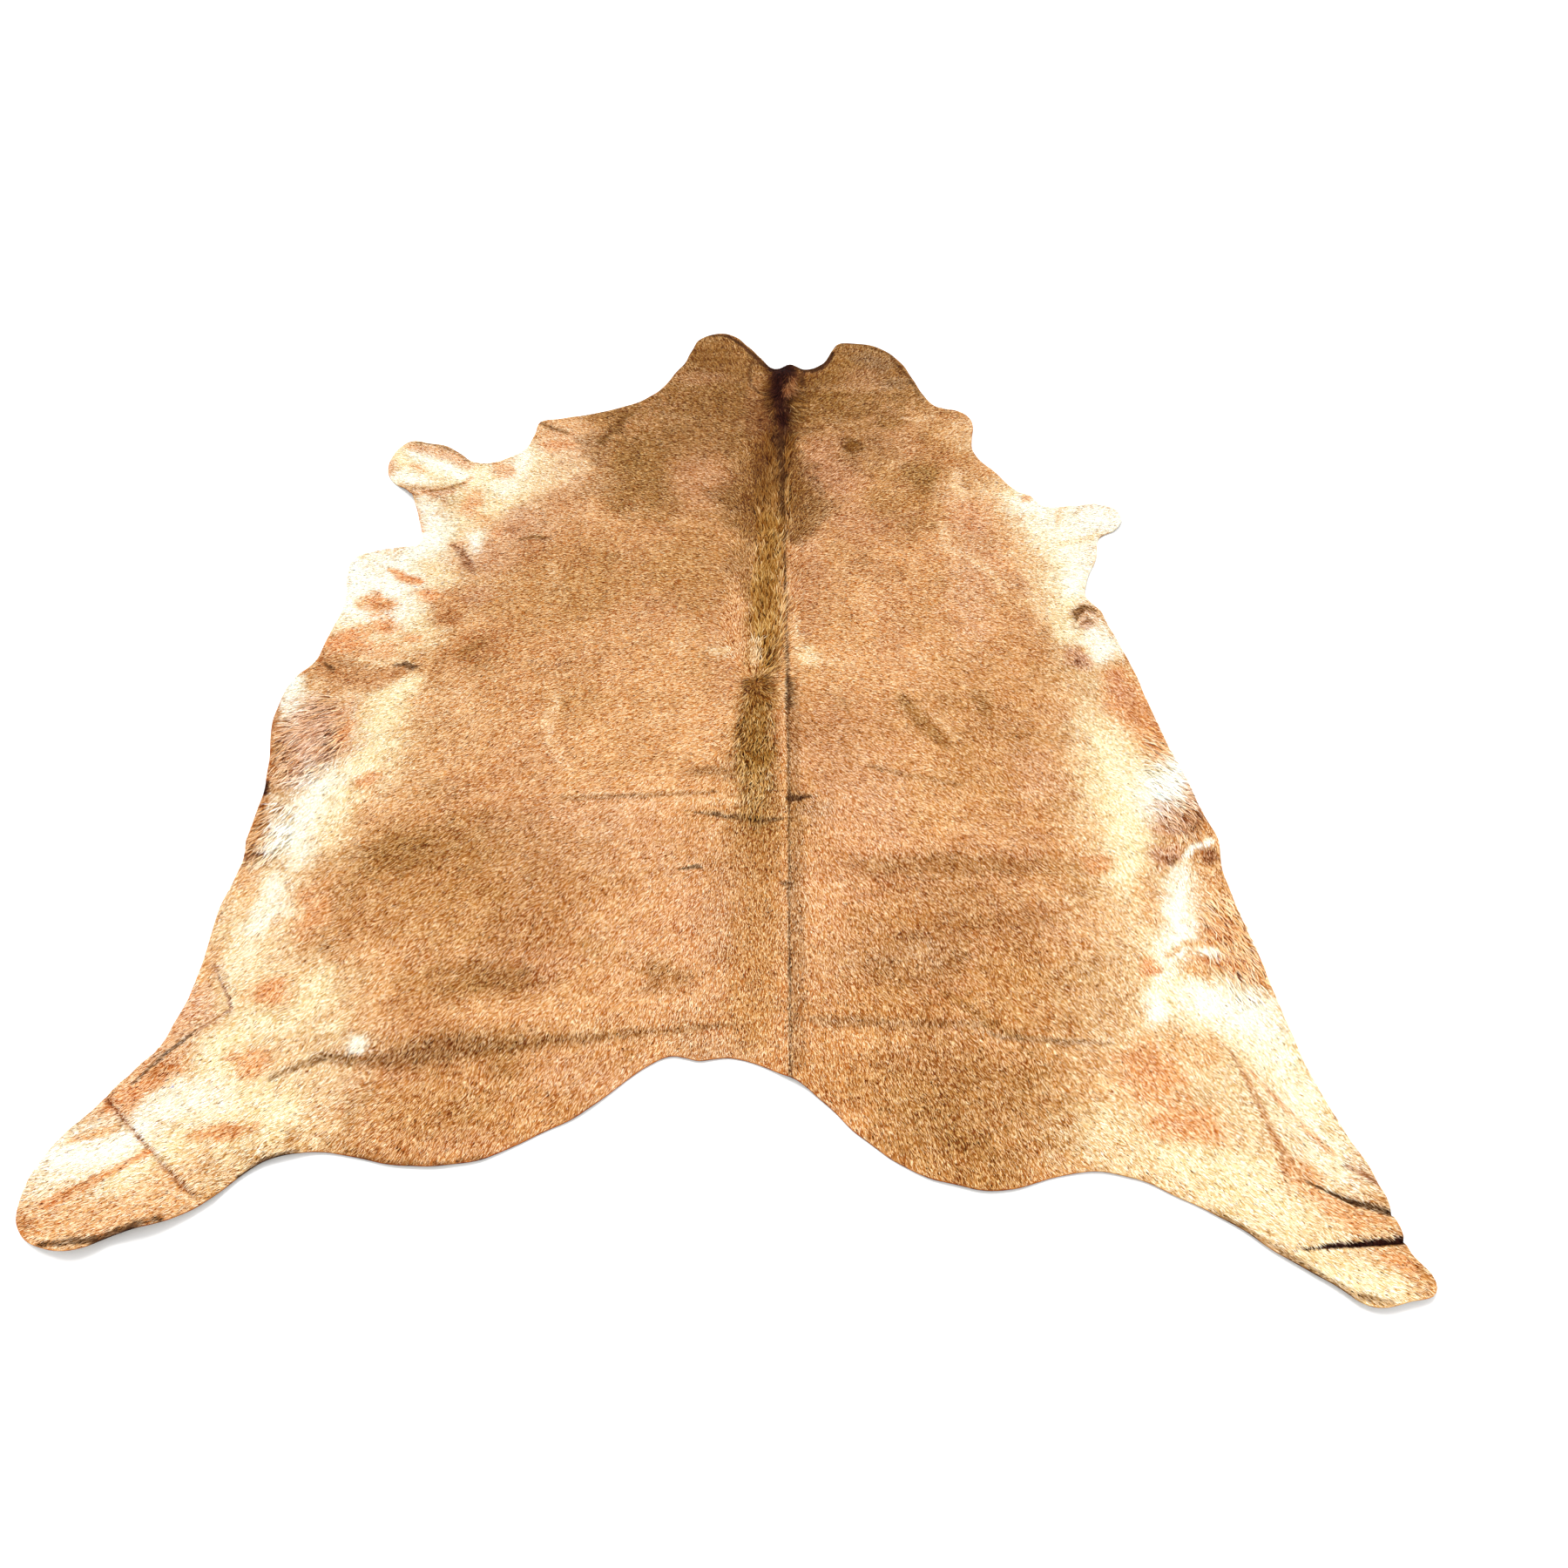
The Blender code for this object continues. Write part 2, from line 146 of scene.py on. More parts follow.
ROUND_EDGE = 1.5  # where a field or spot ends, in half sizes from its middle
ROUND_SPECKLE = 0.30
ROUND_FULL_WARP = 3.0  # half size from which the warp counts in full
PATH_REACH = 1.8
PATH_MARGIN = 1.5
PATH_FULL_WARP = 5.0  # half width from which the warp would count in full
PATH_MOST_WARP = 0.8  # the share of it that a path takes at most
MOTTLE_STEP = 17.0
BLOTCH_STEP = 5.5
STREAK_STEP = 3.2
STREAK_STRETCH = 0.22  # streaks run across the hide
STREAKS_FROM = 8.0  # streaks fade in from here towards the rump
STREAKS_FADE = 24.0
TONE_FADE = 0.5  # rise of the noise over which a tone comes in

# How the hair flows. Lengths are in centimetres.
FAR_FLOW = 1e-4  # weight of a row of the flow outside its own reach
WHORL = (4.8, -5.2)
WHORL_RADIUS = 6.5
WHORL_EDGE = 1.4  # where the whorl ends, in radii
WHORL_PULL = 3.0
FLOW_SWAY = 16.0  # degrees
FLOW_SWAY_STEP = 5.0
CLUMP_SWAY = 10.0
CLUMP_SWAY_STEP = 1.2

# Floor, light and camera
FLOOR_SIZE = 40.0
FLOOR_GAP = 0.0002  # the floor lies this far under the hide
FLOOR_COLOUR = (0.90, 0.90, 0.90, 1.0)
SKY_COLOUR = (1.0, 1.0, 1.0, 1.0)
SKY_STRENGTH = 1.12
KEY_STRENGTH = 2.7
KEY_COLOUR = (1.0, 0.98, 0.94)
KEY_ANGLE = 30.0  # degrees across, which softens the shadows
KEY_ELEVATION = 60.0
KEY_AZIMUTH = 118.0  # degrees from +X: the light comes from behind the neck, a little from the left
CAMERA_PLACE = (0.103, -1.667, 1.708)
CAMERA_PITCH = 51.45  # degrees below level, looking along +Y
CAMERA_LENS = 27.0
CAMERA_SENSOR = 36.0

# Colours of the coat in full light, as sRGB bytes
PALETTE = {
    "white": (253, 252, 240),
    "cream": (250, 238, 201),
    "ivory": (246, 226, 186),
    "pale_tan": (244, 213, 168),
    "light_tan": (233, 186, 129),
    "blush": (230, 185, 143),
    "caramel": (211, 158, 97),
    "pink_tan": (199, 141, 93),
    "gold": (191, 136, 67),
    "olive": (149, 96, 31),
    "brown": (116, 67, 17),
    "neck_brown": (151, 98, 38),
    "grey_brown": (150, 110, 70),
    "orange": (230, 165, 103),
    "rust": (195, 132, 71),
    "red_brown": (146, 85, 45),
    "mauve": (212, 160, 122),
    # the two darkest colours are also used for painted shade: in creases, along rims and under lifted edges
    "dark": (66, 36, 14),
    "tuft": (40, 12, 7),
}

# The coat, in order of painting. All tables from here on are in centimetres and degrees. Fields are the
# broad shifts of tone, zones the bands along both sides, on the legs and down the middle, and spots and
# lines the small marks.
# Columns of fields and spots: x, y, half length, half width, turn from +X, colour, strength.
FIELDS = (
    # neck and its two lobes
    (10, 108, 46, 24, 0, "neck_brown", 0.90),
    (-5, 84, 22, 14, 0, "neck_brown", 0.66),
    (5, 62, 14, 17, 0, "neck_brown", 0.22),
    (26, 82, 13, 12, 0, "neck_brown", 0.32),
    (27, 96.5, 10, 2.2, 0, "light_tan", 0.36),
    (-33, 87, 9, 5, 10, "neck_brown", 0.45),
    (-8, 113, 8, 10, 0, "brown", 0.38),
    (-10, 102, 8, 3, 0, "pink_tan", 0.45),
    (33, 109, 5.5, 4.5, -45, "grey_brown", 0.60),
    (38, 99, 5, 2.5, 0, "grey_brown", 0.55),
    (22, 105, 5, 6, 30, "olive", 0.35),
    (30, 101, 5, 4, -30, "pink_tan", 0.40),
    (-43, 79, 8, 5, -15, "light_tan", 0.70),
    # shoulders, and the neck above them
    (-24, 62, 9, 13, 15, "olive", 0.65),
    (-19, 50, 7, 6, 0, "olive", 0.30),
    (-9, 61, 7, 12, 0, "pink_tan", 0.55),
    (-36, 71, 5, 6, 0, "rust", 0.45),
    (21, 65, 8, 12, 0, "pink_tan", 0.85),
    (37, 72, 10, 6, -10, "pink_tan", 0.38),
    (28, 45, 8, 7, 0, "pink_tan", 0.45),
    (42, 60, 3.6, 6.5, 0, "olive", 0.62),
    (29, 69, 9, 7, 0, "neck_brown", 0.34),
    (-14, 73, 15, 6, 0, "neck_brown", 0.38),
    (18, 89, 12, 6, 0, "olive", 0.28),
    (8, 99, 17, 12, 0, "brown", 0.24),
    (-31, 75, 7, 6, 0, "neck_brown", 0.30),
    (37, 52, 9, 4, 0, "gold", 0.62),
    (49, 54, 5, 4, 0, "pale_tan", 0.40),
    (54, 76, 3.5, 7, 0, "pale_tan", 0.60),
    (54, 46, 6, 6, 0, "orange", 0.55),
    (52, 45, 4.5, 3.5, 20, "rust", 0.45),
    (59, 33, 4, 7, -10, "orange", 0.55),
    # back and flanks, from the shoulders to the rump
    (38, 4, 22, 24, 0, "light_tan", 0.42),
    (22, -1, 13, 8, 0, "light_tan", 0.60),
    (-42, 12, 14, 4, 0, "light_tan", 0.35),
    (-20, -12, 26, 28, 0, "light_tan", 0.55),
    (26, -33, 26, 12, 0, "light_tan", 0.40),
    (-10, -32, 20, 12, 0, "light_tan", 0.35),
    (-23, -43, 15, 10, 0, "blush", 0.50),
    (24, -38, 8, 12, 0, "blush", 0.42),
    (-1, 4, 4, 14, 0, "pink_tan", 0.35),
    (-31, -9, 6, 7, 0, "gold", 0.35),
    (2, -74, 20, 9, 0, "light_tan", 0.32),
    (0, -84, 7, 3, 0, "grey_brown", 0.30),
    (-36, 24, 14, 12, 0, "gold", 0.44),
    (-8, 30, 11, 14, 0, "gold", 0.58),
    (22, -24, 10, 16, 0, "pink_tan", 0.26),
    (15, 26, 4, 16, 0, "pink_tan", 0.45),
    (50, -20, 12, 10, 0, "gold", 0.35),
    (51, 32, 6, 26, -4, "blush", 0.58),
    (44, 36, 5, 8, -10, "light_tan", 0.45),
    # loin and rump
    (-50, -45, 13, 5, 8, "olive", 0.30),
    (-58, -47, 7, 5, 30, "olive", 0.35),
    (-40, -52, 22, 12, 0, "gold", 0.40),
    (-40, -71, 9, 3.5, 0, "olive", 0.35),
    (42, -49.5, 21, 2.0, 0, "olive", 0.32),
    (42, -58, 15, 7, 0, "olive", 0.24),
    (-12, -60, 14, 7, 0, "light_tan", 0.60),
    (18, -58, 8, 8, 0, "light_tan", 0.35),
    (30, -68, 12, 5, 0, "grey_brown", 0.30),
    (26, -76, 14, 6, 0, "gold", 0.40),
    (38, -91, 14, 9, -20, "olive", 0.38),
    (32, -99, 10, 6, -20, "olive", 0.34),
    (62, -62, 5, 5, 0, "light_tan", 0.55),
    (48, -72, 7, 8, 0, "gold", 0.45),
    (-44, -93, 9, 5, 0, "gold", 0.45),
    (-20, -88, 9, 4, 0, "blush", 0.45),
    (57, -99, 7, 5, 0, "ivory", 0.40),
    (2, -68, 20, 20, 0, "blush", 0.42),
    (57, -29, 5, 7, 0, "blush", 0.50),
    (57, -53, 5, 4, 0, "light_tan", 0.40),
    (-57, -81.5, 5, 3, 0, "pale_tan", 0.40),
    # painted highlight on the far slope above the left rump's wave
    (-26, -77.5, 20, 2, 5, "light_tan", 0.50),
    (4, -55, 7, 16, 0, "grey_brown", 0.17),
)
# Columns of zones and lines: colour, strength, and the path's rows of x, y, half width.
ZONES = (
    # broad soft fades along both sides
    ("ivory", 0.60, (
        (-44, 72, 7), (-48, 60, 10), (-60, 45, 12), (-70, 28, 15), (-73, 8, 8), (-74, -14, 8),
        (-76, -38, 9), (-80, -58, 9), (-78, -76, 9), (-76, -93, 13), (-90, -105, 12),
    )),
    ("ivory", 0.60, (
        (60, 56, 4), (66, 46, 7), (71, 30, 8), (72, 8, 7), (73, -14, 7), (73, -36, 9), (72, -56, 9),
        (72, -76, 13), (70, -98, 15), (84, -110, 12),
    )),
    # left shoulder, foreleg and flap
    ("blush", 0.55, ((-44, 74, 6), (-41, 62, 8), (-46, 50, 9), (-54, 38, 8))),
    ("cream", 0.60, ((-51, 71, 4), (-48, 64, 6.5), (-51, 56, 6), (-58, 49, 6), (-63, 41, 5))),
    ("white", 0.85, ((-51.5, 69, 3), (-55, 58, 4), (-60, 61, 4))),
    ("cream", 0.96, ((-81, 67, 7), (-72, 64, 8), (-63, 60, 6))),
    ("white", 0.90, ((-78, 70, 1.8), (-72, 66, 2.4), (-65, 61, 2.2))),
    ("white", 0.85, ((-80, 60, 2.8), (-73, 58.5, 2))),
    ("white", 0.86, ((-71, 50, 3.2), (-69.5, 45, 4.8), (-67.5, 38, 4.4))),
    ("white", 0.99, ((-83, 31, 7), (-82, 24, 9), (-80, 15, 7))),
    ("white", 0.92, ((-68.5, 38, 3.6), (-71, 30, 7), (-73, 22, 7), (-71, 14, 4.6))),
    ("ivory", 0.85, ((-66, 29, 3), (-63.5, 25.5, 2.5))),
    ("white", 0.90, ((-58.2, 39.5, 1.6), (-57, 34.5, 1.3))),
    ("ivory", 0.62, ((-83, 12, 3), (-73, 6, 3), (-66, 5, 2.5), (-61, 9, 2.5))),
    # left belly
    ("white", 0.95, ((-87, -5, 1.8), (-85.5, -10, 3), (-84.5, -14, 2))),
    ("pale_tan", 0.42, ((-56, -8, 5), (-56, -18, 7), (-60, -30, 6))),
    ("cream", 0.90, ((-63, -4, 1.4), (-67, -9, 4), (-68.5, -18, 5), (-69, -27, 5.5))),
    ("mauve", 0.88, ((-79, -14, 4.2), (-79, -19.5, 6.4), (-80.5, -26, 4.4))),
    ("white", 0.88, ((-76, -31, 4.2), (-77, -38, 5.2), (-76.5, -43, 4.2), (-74.5, -48, 2.2))),
    ("cream", 0.60, ((-71.5, -35, 3), (-70.5, -43, 2.6))),
    ("ivory", 0.70, ((-82, -52, 5), (-80, -60, 7), (-80, -68, 5))),
    ("white", 0.90, ((-77.5, -53, 2.2), (-76.5, -58, 2.6), (-79, -62, 2))),
    ("white", 0.90, ((-79.5, -66, 1.4), (-78.8, -70, 1.9))),
    ("pale_tan", 0.30, ((-72, -50, 4), (-74, -60, 3.5), (-74, -69, 3))),
    # left hind leg
    ("ivory", 0.60, ((-76, -70, 5), (-64, -73, 6), (-63, -84, 6), (-62, -93, 7), (-67, -98, 6))),
    ("cream", 0.72, ((-66, -71, 1.8), (-65.5, -75, 3), (-70, -80, 2.6), (-75, -80, 2.4))),
    ("blush", 0.70, ((-85, -74, 3.2), (-86, -82, 5), (-89, -91, 4.5))),
    ("blush", 0.50, ((-97, -109, 6), (-88, -110, 6), (-79, -106, 5))),
    ("cream", 0.93, ((-77, -85, 4), (-78, -92, 6.5), (-70, -93, 4.5), (-66, -95, 3))),
    ("white", 0.92, ((-83, -93, 3.6), (-76, -92, 2.6))),
    ("white", 0.96, ((-98, -102, 4.5), (-92, -101, 5.5), (-87, -99, 4.5))),
    ("cream", 0.70, ((-87, -105, 2), (-80, -100, 2.5))),
    # right shoulder and foreleg
    ("pale_tan", 0.55, ((58, 56, 3), (61, 48, 4), (63.5, 36, 4.4), (63.5, 24, 4.6), (66, 16, 4))),
    ("pale_tan", 0.85, ((50.3, 64, 0.9), (50.5, 58, 1.7), (52, 53.5, 1.2))),
    ("cream", 0.82, (
        (63.5, 55, 2), (67, 48, 3.2), (70, 38, 3.4), (71, 27, 3.0), (70, 16, 3.0), (68.5, 8, 2.6),
    )),
    ("white", 0.99, ((67, 50, 4.5), (74, 46, 9), (81, 46, 9), (86, 45, 6))),
    ("white", 0.96, ((74, 40, 6), (74, 30, 4.6), (72, 22, 3.4))),
    ("white", 0.93, ((74, 9, 3.6), (76, 5, 4), (74, 1.8, 2))),
    # right belly and thigh
    ("orange", 0.85, ((76.4, -4, 2.4), (77.2, -10, 4.0), (79.4, -17, 4.4), (80.5, -23, 1.8))),
    ("pale_tan", 0.30, ((66, -22, 2), (65.5, -34, 1.6), (65, -46, 2.4), (66, -56, 3))),
    ("ivory", 0.62, ((70, -12, 2.4), (70.5, -17, 3))),
    ("cream", 0.97, ((72.5, -22, 5.4), (73.4, -32, 7), (71.6, -42, 5.4), (69.5, -51, 3.2))),
    ("white", 0.92, ((84, -26, 2.6), (79, -31, 4), (77, -37, 2.6))),
    ("white", 1.0, ((80.5, -50, 1.8), (79, -55, 3), (78, -61, 3), (74.5, -66, 2.2))),
    ("white", 1.0, ((74.5, -66, 2.2), (72, -72, 1.9), (70, -78, 2))),
    ("cream", 0.98, ((77, -74, 4), (83, -80, 8), (88, -86, 7), (89.5, -94, 6), (90.5, -100, 4))),
    ("white", 0.85, ((78, -75, 3.5), (86, -79, 5))),
    # right hind leg
    ("light_tan", 0.60, ((84, -52, 3), (84.5, -60, 3.4), (85.5, -68, 3))),
    ("ivory", 0.55, ((66, -84, 4), (78, -90, 5), (83, -100, 6), (88, -109, 5))),
    ("ivory", 0.65, ((57, -97, 4), (64, -99, 7), (74, -104, 7), (84, -112, 7), (91, -120, 5))),
    ("cream", 0.70, ((70, -102, 3.5), (76, -105, 4.5), (82, -110, 3))),
    ("white", 0.38, ((88, -91, 4), (89, -99, 4), (95, -105, 3))),
    # last touches of tone on both sides
    ("cream", 0.40, ((72, -65, 3), (71, -71, 3))),
    ("ivory", 0.35, ((64, 30, 3.5), (65, 18, 3.5))),
    ("ivory", 0.55, ((-79, -66, 3), (-79.5, -77, 3.5))),
    ("pale_tan", 0.26, ((-88, -84, 3), (-80, -92, 4), (-72, -92, 4))),
    ("ivory", 0.40, ((-96, -107, 3), (-88, -106, 3), (-80, -107, 3.5), (-73, -106, 2))),
    ("ivory", 0.28, ((72, 46, 4), (72, 34, 4))),
    ("cream", 0.24, ((-47, 54, 4), (-52, 50, 3), (-66, 52, 4))),
    # right hind foot
    ("cream", 0.75, ((86, -118, 2.6), (94, -120, 2.4))),
    # the dark stripe, from the neck to the loin
    ("brown", 0.85, ((8.5, 100, 5), (8, 91, 5.4), (7.4, 83, 5.4), (7, 75, 5), (7, 68, 4))),
    ("brown", 0.80, (
        (8, 76, 1.6), (6, 68, 4), (4.6, 60, 6.4), (3.4, 53, 6.4), (3.4, 46, 5.4), (4.4, 40, 3),
    )),
    ("brown", 0.78, ((11, 72, 1.6), (13, 62, 4.4), (14, 53, 5.4), (13.4, 45, 4.2), (12.4, 38, 1.6))),
    ("dark", 0.30, ((8, 74, 1.6), (6.6, 62, 3.0), (6.4, 50, 2.4))),
    ("olive", 0.72, ((5.4, -24, 3.6), (5.8, -32, 4.2), (6, -41, 4.0))),
)
SPOTS = (
    # neck and shoulders
    (21, 92, 4.5, 3, 20, "olive", 0.55),
    (36, 82.5, 4, 3, 0, "olive", 0.50),
    (26.6, 72, 3.2, 5, 0, "neck_brown", 0.35),
    (26.2, 73, 1.7, 3.4, 8, "brown", 0.98),
    (49, 67, 4, 3, -30, "rust", 0.40),
    (65.5, 52.8, 1.2, 1.2, 0, "orange", 0.60),
    (3.5, 98, 3, 7, 0, "rust", 0.55),
    (4, 84, 4, 8, 0, "red_brown", 0.40),
    (16, 98.5, 3.2, 5, 0, "brown", 0.48),
    (14.5, 86, 2.5, 7, 0, "brown", 0.30),
    # left shoulder and foreleg
    (-44, 73, 4, 2, 0, "orange", 0.55),
    (-55.3, 63, 4.0, 2.3, -42, "orange", 0.55),
    (-39, 64, 3, 5, -30, "ivory", 0.40),
    (-42, 52, 5, 4, 10, "rust", 0.45),
    (-44.5, 35.5, 2.4, 5, -8, "rust", 0.50),
    (-50, 44, 4, 5, 20, "pink_tan", 0.50),
    (-54, 40.5, 1.6, 1.2, 0, "orange", 0.60),
    (-83, 64.5, 2.2, 3.4, 0, "blush", 0.85),
    (-75.5, 64, 2.6, 1.2, -30, "orange", 0.55),
    (-70, 55, 5, 1.2, 15, "blush", 0.75),
    (-61, 51.5, 2.4, 5, 12, "orange", 0.60),
    (-57, 45, 3, 2, -40, "light_tan", 0.60),
    (-62, 36.3, 1.8, 1.4, 0, "orange", 0.55),
    (-54, 31, 5, 4, -40, "pink_tan", 0.30),
    # left flap
    (-74.6, 18, 3.3, 3.0, 0, "orange", 0.92),
    (-74, 17.5, 2, 1.7, 0, "rust", 0.45),
    (-78.7, 18, 1.6, 1.7, 0, "light_tan", 0.70),
    (-71.7, 11.3, 2.6, 2.7, 20, "orange", 0.92),
    (-71.3, 11.5, 1.4, 1.5, 0, "rust", 0.45),
    (-75.5, 10.3, 2.2, 1.8, 20, "light_tan", 0.80),
    (-65.8, 7, 1.6, 1.3, 0, "orange", 0.65),
    (-65, 12.5, 3.4, 3.4, 0, "cream", 0.55),
    (-72, 12.5, 2.2, 2.4, 0, "orange", 0.35),
    (-65, 20.4, 3.4, 1.8, -10, "orange", 0.85),
    (-60, 17.5, 4, 4.6, -10, "rust", 0.62),
    (-59.5, 14, 2.2, 2.4, 30, "rust", 0.75),
    (-55, 20.5, 3.4, 2.6, 0, "pink_tan", 0.50),
    (-79, 6, 4, 3.6, -30, "orange", 0.90),
    (-72, 3.6, 4.4, 2.4, 0, "orange", 0.45),
    (-53, 5.4, 6.6, 4.2, 42, "rust", 0.85),
    (-53.5, 4.6, 4.0, 2.4, 42, "olive", 0.42),
    (-82.5, 33.5, 1.6, 1.0, 0, "ivory", 0.80),
    # left belly
    (-74, -18, 1.2, 3.2, 0, "orange", 0.70),
    (-82, -25.5, 2.5, 3, 0, "rust", 0.35),
    (-67.5, -30, 3, 1.8, 10, "orange", 0.70),
    (-84, -52, 4, 3.4, 20, "light_tan", 0.72),
    (-82, -56, 1.6, 3, 0, "light_tan", 0.45),
    (-70, -58, 2.6, 4.8, 0, "orange", 0.50),
    (-85, -70, 1.8, 4, -15, "light_tan", 0.60),
    (-87, -1.8, 1.5, 1.0, 0, "orange", 0.50),
    # left hind leg
    (-73, -74.5, 2.8, 2.3, 0, "orange", 0.80),
    (-73, -86.2, 2.9, 2.0, -15, "orange", 0.75),
    (-86, -76, 3, 3.5, 0, "blush", 0.60),
    (-88, -90, 5.2, 2.4, 42, "orange", 0.80),
    (-86.5, -88, 2.6, 1.3, 42, "rust", 0.50),
    (-93.5, -91.3, 1.4, 0.9, -40, "rust", 0.45),
    (-74, -97.4, 4.6, 1.2, 8, "orange", 0.75),
    (-73, -97.2, 2.0, 0.7, 8, "rust", 0.40),
    (-90, -111, 11, 2.6, 8, "light_tan", 0.60),
    (-98.5, -111, 2.2, 1.2, -30, "rust", 0.50),
    (-79, -106, 4, 2.6, -40, "light_tan", 0.45),
    (-56.4, -83.8, 1.5, 1.3, 0, "white", 0.90),
    (-61.5, -81, 2.6, 1.2, -30, "cream", 0.60),
    # loin and rump
    (-10, -71, 4, 2.6, 0, "olive", 0.40),
    (16, -37, 4, 3, 0, "grey_brown", 0.25),
    # back and flanks
    (-3, 3.5, 3.0, 1.5, 0, "cream", 0.45),
    (-11, 5, 1.2, 2, 0, "pale_tan", 0.50),
    (15, 2.5, 1.8, 3.2, 30, "cream", 0.70),
    (20, 0.8, 4.0, 1.2, -15, "pale_tan", 0.45),
    (0, 30, 3, 5, 0, "grey_brown", 0.30),
    (-3, -27.5, 4, 1.3, 0, "brown", 0.35),
    (-2, -34.5, 5, 1.2, 3, "pale_tan", 0.50),
    (48.5, -10, 2.4, 3.8, 20, "olive", 0.42),
    (-39, 26, 2, 6, 0, "pale_tan", 0.35),
    (60, 24, 2, 4, -10, "pink_tan", 0.40),
    (60, 13, 3, 3.4, 35, "rust", 0.35),
    (61.5, 3, 2.6, 3.4, 20, "rust", 0.50),
    # right elbow and belly
    (72.5, 13.5, 2.6, 2.8, 0, "mauve", 0.75),
    (69.8, 1.5, 2.2, 3, 0, "mauve", 0.75),
    (69.8, 0.5, 1.2, 1.4, 0, "red_brown", 0.50),
    (76.5, -7, 2, 4, 10, "mauve", 0.55),
    (78, -12, 1.5, 4, 5, "rust", 0.45),
    (84.2, -34, 1.8, 4.2, 5, "mauve", 0.70),
    (83.5, -39, 2.6, 2.2, 0, "red_brown", 0.70),
    (80, -39.5, 3.4, 4.4, 20, "mauve", 0.62),
    (77.3, -47.5, 2.8, 2.4, 20, "mauve", 0.70),
    (85, -47.6, 1.4, 1.5, 0, "red_brown", 0.85),
    (65, -49, 3, 1.8, 0, "orange", 0.60),
    (73, -55, 2, 6, 0, "light_tan", 0.50),
    # right hind leg
    (84.4, -58, 3.0, 5.6, -8, "light_tan", 0.55),
    (84, -62, 3.5, 2.0, 0, "orange", 0.60),
    (85, -68, 3.2, 1.8, -10, "orange", 0.62),
    (80.8, -66.3, 1.8, 0.9, 5, "white", 0.90),
    (78, -69.5, 2.6, 1.2, -25, "light_tan", 0.80),
    (88.7, -72, 0.9, 2.2, 20, "light_tan", 0.80),
    (70.6, -69.5, 1.4, 2.0, -10, "orange", 0.85),
    (66.5, -87.5, 4.8, 4.4, 0, "orange", 0.72),
    (66, -85.5, 2.4, 2.4, 0, "rust", 0.30),
    (71, -96, 5.4, 3.2, -15, "orange", 0.68),
    (75, -84, 5.4, 3.0, -20, "light_tan", 0.60),
    (86, -105, 2.8, 2.4, -20, "orange", 0.50),
    (91, -109.5, 5, 2.4, -28, "orange", 0.55),
    (96, -116.8, 2.6, 1.6, -40, "orange", 0.65),
)
